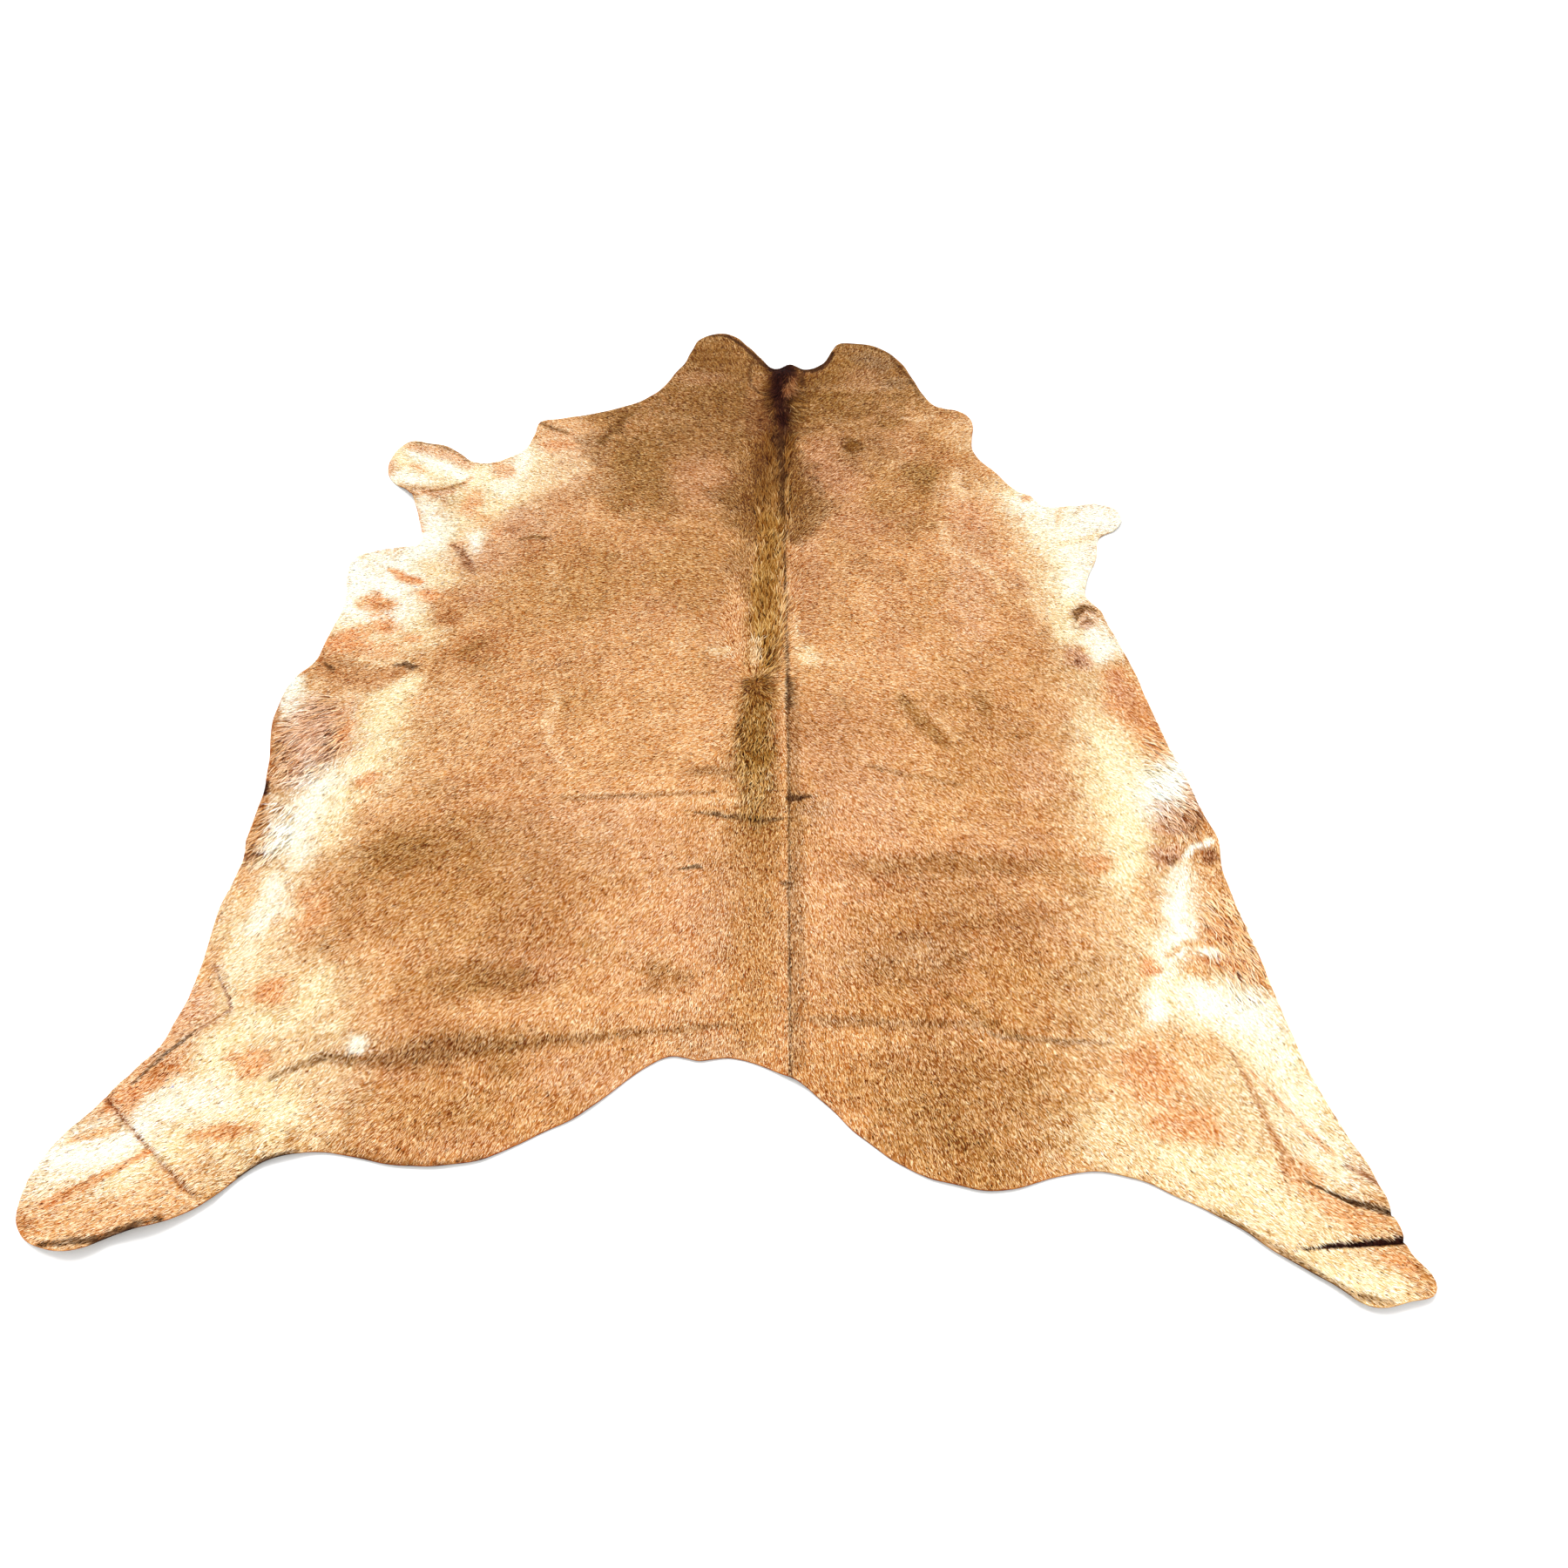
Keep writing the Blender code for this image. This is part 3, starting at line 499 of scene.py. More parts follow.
LINES = (
    # neck and shoulders
    # dark lines along the rims of the neck's lobes and of the notch between them: dark hair at the edge,
    # and partly painted shade under the rim
    ("dark", 0.88, (
        (-10, 121.5, 0.4), (-5, 121.6, 0.5), (-1.4, 117.8, 0.55), (2.6, 111.8, 0.64), (5.4, 107, 0.7),
        (8.4, 104.4, 0.7),
    )),
    ("red_brown", 0.50, ((14.5, 103, 1.6), (17.8, 104.4, 1.8), (20.8, 108, 1.2))),
    ("dark", 0.94, (
        (13.8, 105.0, 0.7), (15.4, 104.2, 0.8), (17.8, 104.6, 0.9), (19.8, 106.0, 0.9), (21.6, 108.6, 0.7),
        (23, 112, 0.5),
    )),
    ("dark", 0.62, ((24, 116.6, 0.3), (30, 117.2, 0.4), (37.5, 113, 0.5), (42.8, 99, 0.45))),
    ("dark", 0.45, ((42.8, 99, 0.5), (45, 91, 0.3))),
    ("dark", 0.65, ((3, 112, 0.4), (1.4, 104, 0.5), (2, 98, 0.4), (5, 94.5, 0.4))),
    # faint brown stripes across the left lobe, partly painted shade of its shallow ripples
    ("brown", 0.50, ((-13, 113.5, 0.7), (-3, 114, 0.8))),
    ("brown", 0.50, ((-14, 110, 0.7), (-2, 109.5, 0.6))),
    ("brown", 0.45, ((-14, 105, 0.7), (-3, 104.5, 0.6))),
    ("dark", 0.60, ((15.4, 104.2, 0.5), (14.6, 101.5, 0.7), (14.8, 98.5, 0.6), (16, 96.4, 0.3))),
    # painted shade on the neck beside the left shoulder, and on the shoulder below it
    ("brown", 0.45, ((-28, 86.5, 1.2), (-31, 80, 2.0), (-33.5, 74.5, 1.4))),
    ("brown", 0.28, ((-38, 75.5, 2.0), (-35, 71, 2.2), (-34, 67, 1.4))),
    ("brown", 0.50, ((-50, 82, 0.5), (-46.5, 80, 0.7), (-42, 78, 0.5))),
    ("pale_tan", 0.60, ((39, 84, 0.6), (43, 83.5, 1.0), (47, 85, 0.5))),
    ("dark", 0.34, (
        (10, 106, 4.0), (10, 98, 3.4), (9, 90, 3.2), (8.8, 82, 2.6), (8.8, 74, 1.6), (9, 66, 0.9),
    )),
    ("tuft", 0.98, (
        (10, 106, 2.6), (9.8, 101, 2.1), (9.4, 96, 1.5), (9.6, 91, 1.2), (9.7, 86, 1.4), (9.5, 80, 1.4),
        (9.3, 75, 1.2), (9.3, 69, 0.7),
    )),
    ("red_brown", 0.75, ((12.2, 101, 0.8), (11.6, 97, 1.1), (10.8, 94, 0.6))),
    ("dark", 0.85, ((13.2, 96, 0.4), (11.5, 93, 0.6), (10, 90.5, 0.6))),
    ("dark", 0.95, ((9.3, 75, 1.0), (9.5, 66, 0.9), (9.8, 56, 0.85), (10, 43, 0.6))),
    # painted shade in the crease of the left neck flap
    ("brown", 0.50, ((-33.5, 74, 0.8), (-30.5, 80, 0.9), (-27, 86.5, 0.6))),
    # back, loin and flanks
    ("neck_brown", 0.45, ((2.5, 42, 4), (3, 32, 3.6), (4, 22, 3))),
    ("olive", 0.92, ((7.6, 43, 2.4), (7.2, 30, 2.8), (6.4, 20, 3.2), (6, 8, 3.2), (6.2, 0, 2.8))),
    ("brown", 0.50, ((7.6, 54, 2.0), (7.4, 43, 1.8), (7, 30, 1.6), (6.5, 16, 1.6))),
    ("pale_tan", 0.60, ((4.3, 6, 1.0), (4.6, 0, 1.0))),
    ("olive", 0.88, ((5, -4.6, 1.4), (5, -8.5, 3.4), (5, -16, 3.7), (5.3, -24, 3.4))),
    ("brown", 0.40, ((4.8, -8, 1.8), (4.8, -18, 2), (5, -24, 1.6))),
    ("gold", 0.62, ((6, -40, 4), (6, -60, 4), (5, -80, 4))),
    ("brown", 0.60, ((3.4, -5.6, 1.6), (6.4, -5.2, 1.8))),
    # painted highlight: a glint of light along the hair right of the parting
    ("pale_tan", 0.55, ((12.8, 14, 0.8), (12.8, 7, 1.2), (14.2, 1, 1.2))),
    # the back's parting: a thin dark line, partly the parted hair and partly painted shade in its crease
    ("dark", 0.55, (
        (10.2, 43, 0.32), (10.5, 20, 0.28), (10.9, 0, 0.34), (11.2, -30, 0.28), (11.2, -60, 0.26),
        (11.3, -89, 0.30),
    )),
    ("dark", 0.55, ((11, -4, 0.5), (11.2, -8, 0.8), (11.2, -12, 0.6))),
    # painted shade on the right side of the parting's crease
    ("brown", 0.28, ((12, -5, 0.9), (12.4, -30, 1.1), (12.6, -60, 1.3), (12.4, -87, 1.1))),
    # painted light on the left side of the parting's crease
    ("light_tan", 0.50, ((10.0, -8, 0.5), (10.2, -36, 0.5), (10.4, -58, 0.5))),
    ("dark", 0.75, ((11.4, -34.6, 0.6), (12.6, -34.2, 0.7), (15, -33.8, 0.3))),
    # dark lines in two creases across the loin, partly painted shade in them
    ("dark", 0.62, ((-6, -37.3, 0.3), (0, -38.3, 0.45), (6.5, -39.2, 0.6), (10, -38.9, 0.4))),
    ("dark", 0.65, ((-8, -49.8, 0.2), (-5, -49.3, 0.5), (-4, -49.6, 0.2))),
    ("dark", 0.60, ((10.4, -53, 0.6), (11.4, -53.4, 0.5))),
    # faint brown lines along two soft folds across the loin, partly painted shade on them
    ("brown", 0.25, ((-30, -34, 0.7), (-15, -33.5, 0.6), (-2, -32.5, 0.5))),
    ("brown", 0.25, ((26, -26.5, 0.6), (34, -29, 0.7), (43, -31, 0.5))),
    ("olive", 0.50, ((33.5, -9, 1.2), (36.5, -15, 1.9), (41, -21, 1.0))),
    ("pale_tan", 0.40, ((37.5, -11, 0.7), (43.5, -20, 0.7))),
    ("pale_tan", 0.50, ((-34.5, -7, 0.9), (-35.2, -16, 1.2), (-32.5, -23, 0.9), (-29, -29, 0.6))),
    ("pale_tan", 0.62, ((45.5, 44, 0.8), (46, 36, 1.4), (52, 32, 1.1), (56, 25, 0.9), (57, 20, 0.5))),
    ("brown", 0.75, ((-48, 38.5, 0.3), (-45, 39.6, 0.6), (-42.5, 39, 0.4))),
    # rump
    # painted shade on the near slope of the soft wave across the left rump
    ("brown", 0.38, (
        (-55, -86.2, 1.0), (-50, -85.6, 1.8), (-43, -84.6, 2.0), (-36, -83.7, 1.4), (-28, -82.8, 0.8),
        (-5, -80.6, 0.5), (3, -79.5, 0.4),
    )),
    # the same painted shade at the wave's left end
    ("brown", 0.50, ((-69, -89, 0.4), (-66, -87.2, 0.6), (-61, -85.6, 0.7), (-57, -86.2, 0.8))),
    # faint dark lines along two low creases of the right rump, partly painted shade
    ("grey_brown", 0.30, ((15, -79, 0.9), (30, -79.8, 0.8), (42, -79.8, 0.5))),
    ("grey_brown", 0.60, ((42, -81.3, 0.4), (47, -82.2, 0.6), (54, -82.7, 0.5), (62, -83, 0.3))),
    ("olive", 0.40, ((36, -74, 0.5), (42, -79, 0.9), (48, -82, 0.5))),
    # left edge
    ("blush", 0.70, ((-79, 72.6, 1.0), (-73, 70.5, 2.2), (-68, 68.5, 2.4), (-64, 65, 1.4))),
    ("brown", 0.55, ((-78, 73.8, 0.3), (-72, 73, 0.4), (-68, 70.5, 0.5), (-64, 66.5, 0.3))),
    ("neck_brown", 0.85, ((-71, 55, 0.3), (-66.5, 56.5, 0.5), (-63.8, 58.5, 0.4))),
    ("orange", 0.45, ((-64, 58, 0.7), (-63, 61, 0.6))),
    # painted shadow: a black spot in the gap under the lifted edge by the left foreleg
    ("tuft", 0.95, ((-76.2, 53.4, 0.4), (-75.4, 52.8, 0.5))),
    ("blush", 0.80, ((-73.4, 49, 0.5), (-72, 44, 0.8), (-71, 41, 1.0))),
    ("red_brown", 0.55, ((-62.5, 36.6, 0.6), (-60.3, 34, 0.8), (-58.6, 30.5, 1.1), (-57, 28.5, 0.8))),
    ("orange", 0.90, ((-75, 28.6, 0.5), (-71.8, 26.4, 1.3), (-68, 24.5, 1.0))),
    ("rust", 0.72, ((-83, 1.5, 1.6), (-78, -3.5, 3.4), (-71, -4, 2.8), (-67, -2.5, 1.4))),
    ("pale_tan", 0.40, ((-82, -5, 1.2), (-78.5, -6, 1.6), (-76, -8, 1.2))),
    ("dark", 0.75, ((-82, 0.2, 0.3), (-80.3, -1.4, 0.6))),
    ("dark", 0.70, ((-68, -0.6, 0.3), (-66, 0, 0.5), (-64.5, -1, 0.9), (-63.4, -0.8, 0.4))),
    ("rust", 0.80, ((-88.8, -10, 0.7), (-88.3, -16, 1.3), (-86.8, -23, 0.8))),
    ("rust", 0.85, ((-86, -26, 1.1), (-85.4, -34, 1.3), (-84.5, -40, 2.0), (-84, -46, 1.7))),
    ("tuft", 0.90, ((-85, -30.8, 0.3), (-84.7, -33.5, 0.55))),
    ("red_brown", 0.80, ((-85.5, -47.5, 1.0), (-83, -46.5, 0.8), (-80.5, -46.2, 0.4))),
    # dark lines in the left hind leg's folds, partly painted shade in them
    ("red_brown", 0.60, ((-83.6, -69.3, 0.25), (-79.5, -75, 0.3), (-78.5, -77.2, 0.35))),
    ("red_brown", 0.55, ((-78.5, -77.3, 0.35), (-81.5, -80.3, 0.28), (-83.5, -82, 0.28))),
    ("dark", 0.62, ((-83, -82, 0.25), (-86.5, -86, 0.38), (-89.5, -90, 0.30))),
    ("red_brown", 0.60, ((-93.5, -91.8, 0.3), (-84.2, -100, 0.32), (-75, -107.3, 0.36))),
    ("light_tan", 0.80, ((-96, -99, 0.5), (-92, -97.8, 0.8), (-89.5, -96.6, 0.5))),
    # painted shadow: dark lines under the lifted lower edge of the left hind foot and along the rear rim
    ("dark", 0.88, ((-94, -114.5, 0.4), (-87.4, -114, 0.5), (-81, -111.7, 0.6), (-78, -110.6, 0.4))),
    ("dark", 0.70, ((-69.4, -104.7, 0.3), (-66.4, -102.1, 0.45), (-61.5, -100.6, 0.35))),
    ("brown", 0.60, ((-53, -101.4, 0.3), (-46.8, -102.4, 0.4), (-40.5, -102.6, 0.4), (-34.4, -101.6, 0.3))),
    ("orange", 0.85, ((-96, -108.5, 0.8), (-92, -106.6, 0.9), (-88, -103.8, 0.6), (-83.5, -100.6, 0.5))),
    ("rust", 0.70, ((-94, -107.4, 0.4), (-92, -106.4, 0.5), (-90.5, -105, 0.3))),
    # right edge
    ("brown", 0.75, ((70.8, 12.5, 0.4), (71.4, 15, 0.8), (73, 16.3, 0.8), (75, 15.2, 0.4))),
    ("brown", 0.60, ((72, 11.6, 0.3), (73.5, 12.8, 0.4), (74.4, 12, 0.3))),
    ("ivory", 0.70, ((71.8, 13, 0.4), (73.2, 14.2, 0.5), (74.8, 13.4, 0.4))),
    ("brown", 0.55, ((70.3, 10.6, 0.6), (71.2, 9.8, 0.4))),
    ("red_brown", 0.75, ((76.6, -47.4, 0.4), (78.2, -48.6, 0.5), (79.4, -47.4, 0.4), (78.4, -46.2, 0.3))),
    ("white", 0.95, ((81, -47.5, 0.6), (82.3, -45.8, 0.7), (86, -44.6, 0.5))),
    ("red_brown", 0.70, ((84, -30, 0.3), (85.2, -34, 0.5), (85.4, -38, 0.5))),
    ("light_tan", 0.80, ((74, -67, 0.5), (77, -64.8, 0.5), (83, -64.6, 0.5))),
    ("orange", 0.65, ((77, -67, 0.5), (82, -69, 0.6), (88, -71.5, 0.5))),
    # painted shade in the two deep folds of the right hind leg
    ("dark", 0.92, ((86.5, -105, 0.15), (91.9, -107.9, 0.34), (97.5, -110.2, 0.52))),
    ("tuft", 0.98, ((83.3, -114.7, 0.15), (88, -114.3, 0.32), (98.3, -113.6, 0.45))),
    ("red_brown", 0.80, ((92.7, -102.6, 0.3), (96.5, -105.4, 0.5))),
    # painted shade: a thin dark line along the lower rim of the right hind leg, under its edge
    ("brown", 0.60, ((72, -109.2, 0.3), (80.6, -115.4, 0.4), (88.6, -121, 0.5), (93, -122.2, 0.5))),
    ("rust", 0.66, ((80.4, -84.6, 0.3), (82.2, -92, 0.5), (83.4, -98.5, 0.6), (86, -104.5, 0.5))),
    ("rust", 0.45, ((83.6, -99, 0.4), (84, -103, 0.5), (83.4, -107, 0.4))),
    ("orange", 0.65, ((82.5, -88, 0.3), (87.3, -95.5, 0.5), (91.5, -101, 0.5))),
    ("pale_tan", 0.55, ((71.5, 43, 0.5), (72.2, 48, 0.8), (74.5, 50.5, 0.8))),
    ("ivory", 0.80, ((71, 36.5, 1.0), (76, 38, 0.9), (80, 40, 0.8))),
)

# Where the hair points. Columns: x, y, heading in degrees from +X, reach.
FLOW = (
    (-8, 115, 110, 14), (-10, 95, 160, 14), (-20, 85, 175, 14), (2, 92, 170, 6),
    (28, 110, 60, 14), (34, 92, 15, 14), (20, 85, 20, 10), (48, 80, 5, 14),
    (-40, 76, 175, 14), (-28, 60, -175, 14), (-55, 60, 165, 12), (-75, 65, 170, 12),
    (-12, 55, 160, 10), (-12, 30, 175, 10), (-30, 35, -165, 16), (-50, 35, -160, 16),
    (-70, 42, -170, 10), (-72, 20, -155, 14), (-50, 10, -145, 16), (-25, 8, -165, 16),
    (26, 60, 25, 12), (24, 30, 0, 12), (45, 60, 5, 14), (42, 35, -15, 16),
    (60, 40, -15, 14), (80, 42, 0, 12), (66, 18, -35, 14), (45, 8, -35, 16),
    (25, 5, -20, 14), (78, 0, -60, 12), (-10, -15, -165, 10), (-30, -20, -145, 16),
    (-52, -20, -135, 16), (-78, -10, -150, 12), (-80, -30, -110, 12), (22, -18, -30, 10),
    (42, -22, -45, 16), (62, -22, -55, 14), (80, -25, -50, 10), (84, -45, -90, 8),
    (-10, -45, -115, 12), (-36, -42, -134, 16), (-60, -48, -130, 16), (-80, -52, -120, 12),
    (22, -45, -65, 12), (42, -50, -56, 16), (66, -50, -62, 14), (84, -65, -75, 12),
    (-15, -72, -110, 14), (-40, -72, -120, 16), (-64, -72, -125, 14), (-80, -80, -130, 12),
    (24, -75, -72, 14), (45, -78, -62, 16), (68, -78, -62, 14), (84, -88, -62, 12),
    (-35, -95, -112, 14), (-60, -93, -135, 12), (-78, -100, -145, 12), (-94, -105, -150, 12),
    (38, -98, -72, 14), (60, -95, -52, 12), (78, -105, -45, 12), (92, -115, -40, 12),
    (10, 100, -90, 4), (10, 90, -90, 4), (10, 82, -90, 4), (8, 70, 90, 5),
    (8, 62, 90, 6), (8, 54, 90, 6), (8, 46, 90, 6), (7, 38, 90, 6),
    (7, 30, 90, 6), (7, 22, 90, 6), (6, 14, 90, 6), (6, 6, 90, 5),
    (5, -14, -90, 5), (5, -22, -90, 6), (5, -30, -90, 6), (5, -38, -90, 6),
    (5, -50, -90, 8), (5, -62, -90, 8), (5, -76, -90, 10),
)

# Longer hair. Columns: x, y, half length, half width, turn, hair length, share of the long hairs.
LONG_HAIR = (
    (10, 93, 3.5, 16, 0, 3.4, 0.16),
    (9, 72, 3.5, 12, 0, 3.4, 0.12),
    (8, 50, 4.5, 16, 0, 3, 0.14),
    (7, 20, 4, 24, 0, 2.6, 0.14),
    (5, -22, 4, 20, 0, 2.2, 0.10),
    (-80, -20, 7, 12, 0, 2.6, 0.12),
    (82, -30, 5, 16, 0, 2.6, 0.10),
    (85, -65, 5, 12, 0, 2.4, 0.06),
    (-82, -42, 5, 8, 0, 2.4, 0.06),
)

# Creases of the leather itself. Columns: half width, and rows of x, y, rise.
# A rise below 0 is a soft trough, one above 0 a soft ridge.
CREASES = (
    # back and loin
    (0.6, ((11.35, -88, -0.2), (11.2, -50, -0.2), (10.9, 0, -0.2), (10.5, 50, -0.25), (10, 103, -0.35))),
    (0.8, ((-7, -37.2, -0.1), (2, -38.5, -0.3), (10, -39, -0.3))),
    (0.6, ((-8.5, -49.7, -0.1), (-4.5, -49.3, -0.15))),
    (1, ((11.6, -35, -0.3), (17.5, -34.2, -0.1))),
    (1, ((-30, -34.2, -0.1), (-15, -33.6, -0.15), (-2, -32.6, -0.1))),
    (1.2, ((16, -27.5, 0.1), (30, -28.3, 0.15), (45, -30.6, 0.1))),
    # rump
    (0.8, ((14, -79.6, -0.1), (42, -79.8, -0.1))),
    (0.8, ((44, -81.2, -0.15), (62, -82.6, -0.1))),
    (1, ((20, -91.5, -0.1), (33, -93.6, -0.1))),
    (1.4, ((-56, -86.2, -0.2), (-43, -86.2, -0.3), (-20, -83.8, -0.2))),
    # hind legs
    (0.6, ((-83.5, -70, -0.1), (-78.5, -77.3, -0.2))),
    (0.6, ((-81.5, -81.5, -0.2), (-89.5, -89.8, -0.3))),
    (0.7, ((-93.7, -91.3, -0.2), (-84.2, -100, -0.3), (-74.8, -107.5, -0.3))),
    (0.6, ((87.5, -105.2, -0.1), (91.9, -107.9, -0.4), (97.5, -110.2, -0.7))),
    (0.6, ((83.2, -114.6, -0.1), (91, -114.3, -0.4), (98.3, -113.9, -0.8))),
    (0.7, ((80.4, -84.2, -0.1), (82.3, -92, -0.3), (84.2, -98.8, -0.3), (84.5, -107, -0.2))),
    (0.7, ((82, -85.4, -0.1), (87.3, -93.5, -0.3), (94.2, -101, -0.2))),
    # left foreleg, left belly and left lobe of the neck
    (0.6, ((-75.5, 54.4, -0.3), (-69, 56.6, -0.3), (-63.6, 60, -0.2))),
    (0.7, ((-86, -46.5, -0.3), (-81, -46.7, -0.2))),
    (1, ((-13.5, 113.4, -0.1), (-8, 114.2, -0.2), (-2.5, 113.8, -0.1))),
    (1, ((-14.5, 110, -0.1), (-8, 110.2, -0.2), (-1.5, 109.3, -0.1))),
    (1.1, ((-15.5, 105, -0.1), (-9, 105.6, -0.2), (-2.5, 104.6, -0.1))),
)


def smooth_step(share):
    """From 0 to 1 without a kink at either end."""
    share = np.clip(share, 0.0, 1.0)
    return share * share * (3.0 - 2.0 * share)


def value_noise(x, y, step, seed):
    """Smooth noise from -1 to 1 with one value for each cell of the given step."""
    table = np.random.default_rng(seed).uniform(-1.0, 1.0, (NOISE_CELLS, NOISE_CELLS))
    column, across = np.divmod(x / step, 1.0)
    row, along = np.divmod(y / step, 1.0)
    across, along = smooth_step(across), smooth_step(along)
    left, low = column.astype(int) % NOISE_CELLS, row.astype(int) % NOISE_CELLS
    right, high = (left + 1) % NOISE_CELLS, (low + 1) % NOISE_CELLS
    near = table[low, left] * (1.0 - across) + table[low, right] * across
    far = table[high, left] * (1.0 - across) + table[high, right] * across
    return near * (1.0 - along) + far * along


def fractal_noise(x, y, step, seed):
    """Layers of noise, each half as wide and half as strong as the one before."""
    total, weight = np.zeros(len(x)), 0.0
    for octave in range(NOISE_OCTAVES):
        share = 0.5 ** octave
        total += share * value_noise(x, y, step * share, seed + octave)
        weight += share
    return total / weight


def linear_of(colours):
    """sRGB values from 0 to 1 as light."""
    return np.where(colours <= 0.04045, colours / 12.92, ((colours + 0.055) / 1.055) ** 2.4)


def ellipse_distance(x, y, half_length, half_width, turn):
    """1 on the rim of an ellipse and 0 at its middle, where x and y are 0."""
    turn = math.radians(turn)
    along = x * math.cos(turn) + y * math.sin(turn)
    across = y * math.cos(turn) - x * math.sin(turn)
    return np.hypot(along / half_length, across / half_width)


def nearest_on_path(x, y, path):
    """Per point: distance to the path, and the path's third column there."""
    best = np.full(len(x), np.inf)
    value = np.zeros(len(x))
    for (x0, y0, first), (x1, y1, last) in zip(path[:-1], path[1:]):
        run_x, run_y = x1 - x0, y1 - y0
        share = np.clip(((x - x0) * run_x + (y - y0) * run_y) / (run_x**2 + run_y**2), 0.0, 1.0)
        distance = np.hypot(x - x0 - share * run_x, y - y0 - share * run_y)
        closer = distance < best
        best = np.where(closer, distance, best)
        value = np.where(closer, first + share * (last - first), value)
    return best, value


def near_path(x, y, path, reach):
    """Which points are in the path's box, grown by reach."""
    xs, ys = [row[0] for row in path], [row[1] for row in path]
    in_columns = (x > min(xs) - reach) & (x < max(xs) + reach)
    return in_columns & (y > min(ys) - reach) & (y < max(ys) + reach)


def coat_colours(x, y):
    """The coat's colour in full light at each place, as light from 0 to 1."""
    x, y = x / CENTIMETRE, y / CENTIMETRE
    palette = {name: np.array(value) / 255.0 for name, value in PALETTE.items()}
    warp_x, warp_y = (
        WARP_REACH * fractal_noise(x, y, WARP_STEP, seed) + value_noise(x, y, FINE_WARP_STEP, seed + 1)
        for seed in (11, 21)
    )
    ragged = fractal_noise(x, y, RAGGED_STEP, seed=31)
    gaps = smooth_step(GAP_LEVEL + GAP_CONTRAST * value_noise(x, y, GAP_STEP, seed=32))
    speckled = value_noise(x, y, SPECKLE_STEP, seed=33)
    colour = np.tile(palette["caramel"], (len(x), 1))

    def blend(mask, weight, name):
        colour[mask] += (palette[name] - colour[mask]) * weight[:, None]

    def blend_rounds(table):
        for at_x, at_y, half_length, half_width, turn, name, strength in table:
            reach = ROUND_REACH * max(half_length, half_width) + ROUND_MARGIN
            mask = (np.abs(x - at_x) < reach) & (np.abs(y - at_y) < reach)
            share = min(1.0, half_length / ROUND_FULL_WARP, half_width / ROUND_FULL_WARP)
            away_x = x[mask] + share * warp_x[mask] - at_x
            away_y = y[mask] + share * warp_y[mask] - at_y
            distance = ellipse_distance(away_x, away_y, half_length, half_width, turn)
            uneven = RAGGED_SHARE * ragged[mask] + ROUND_SPECKLE * speckled[mask]
            blend(mask, strength * smooth_step(ROUND_EDGE - distance + uneven), name)

    def blend_paths(table, softness, speckle):
        for name, strength, path in table:
            widest = max(half_width for _, _, half_width in path)
            mask = near_path(x, y, path, PATH_REACH * widest + PATH_MARGIN)
            _, width = nearest_on_path(x[mask], y[mask], path)
            share = np.minimum(PATH_MOST_WARP, width / PATH_FULL_WARP)
            warped_x, warped_y = x[mask] + share * warp_x[mask], y[mask] + share * warp_y[mask]
            distance, width = nearest_on_path(warped_x, warped_y, path)
            uneven = RAGGED_SHARE * ragged[mask] + speckle * speckled[mask]
            spread = softness + (WIDE_SOFTNESS if widest > WIDE_LINE else 0.0)
            weight = smooth_step((1.0 + spread / 2 - distance / width + uneven) / spread)
            gap_share = GAP_SHARE if widest < THIN_LINE and name != "tuft" else 0.0
            blend(mask, strength * weight * (1.0 - gap_share * gaps[mask]), name)

    everywhere = np.ones(len(x), bool)
    mottle = fractal_noise(x, y, MOTTLE_STEP, seed=41)
    blotch = fractal_noise(x, y, BLOTCH_STEP, seed=51)
    streaks = fractal_noise(STREAK_STRETCH * x, y, STREAK_STEP, seed=55)
    streaky = smooth_step((STREAKS_FROM - y) / STREAKS_FADE)
    # the noise, the level from which its tone shows, the tone's strength and its colour
    for noise, start, strength, name in (
        (mottle, 0.05, 0.50, "gold"),
        (-mottle, 0.05, 0.50, "pink_tan"),
        (blotch, 0.10, 0.60, "light_tan"),
        (-blotch, 0.10, 0.28, "olive"),
        (streaks, 0.05, 0.45 * streaky, "light_tan"),
        (-streaks, 0.05, 0.30 * streaky, "gold"),
    ):
        blend(everywhere, strength * smooth_step((noise - start) / TONE_FADE), name)
    blend_rounds(FIELDS)
    blend_paths(ZONES, softness=1.5, speckle=0.40)
    blend_rounds(SPOTS)
    blend_paths(LINES, softness=1.0, speckle=0.25)
    return linear_of(np.clip(colour, 0.0, 1.0))


def coat_tones(x, y):
    """The uneven lightness of the coat, from clumps of a few millimetres up to a hand's breadth."""
    clumps = value_noise(x, y, CLUMP_STEP, seed=81)
    soft = 0.5 * fractal_noise(x, y, TUFT_STEP, seed=83) + 0.5 * fractal_noise(x, y, PATCH_STEP, seed=84)
    return CLUMP_TONES * clumps + SOFT_TONES * soft


def toned(colours, tones):
    """Colours made darker and richer below a tone of 0, or lighter and paler above it.

    White stays white, and dark hair keeps most of its depth.
    """
    depth = smooth_step(colours.mean(axis=1) / DEEP_COLOUR)
    tones = tones * (DEEP_SHARE + (1.0 - DEEP_SHARE) * depth)
    power = np.exp(-RICHNESS * tones)[:, None]
    lightness = ALBEDO_GAIN * np.exp(LIGHTNESS * tones)[:, None]
    return np.clip(lightness * colours**power, 0.0, BRIGHTEST)


def hair_tones(x, y, rng):
    """Hair by hair: mostly a little lighter than its place, and now and then much darker."""
    return coat_tones(x, y) + HAIR_TONES * (1.0 - rng.exponential(1.0, len(x)))


def tinted(colours, rng):
    """Hair by hair a little redder or yellower."""
    return colours * np.exp(rng.normal(0.0, 1.0, (len(colours), 1)) * HAIR_TINT)


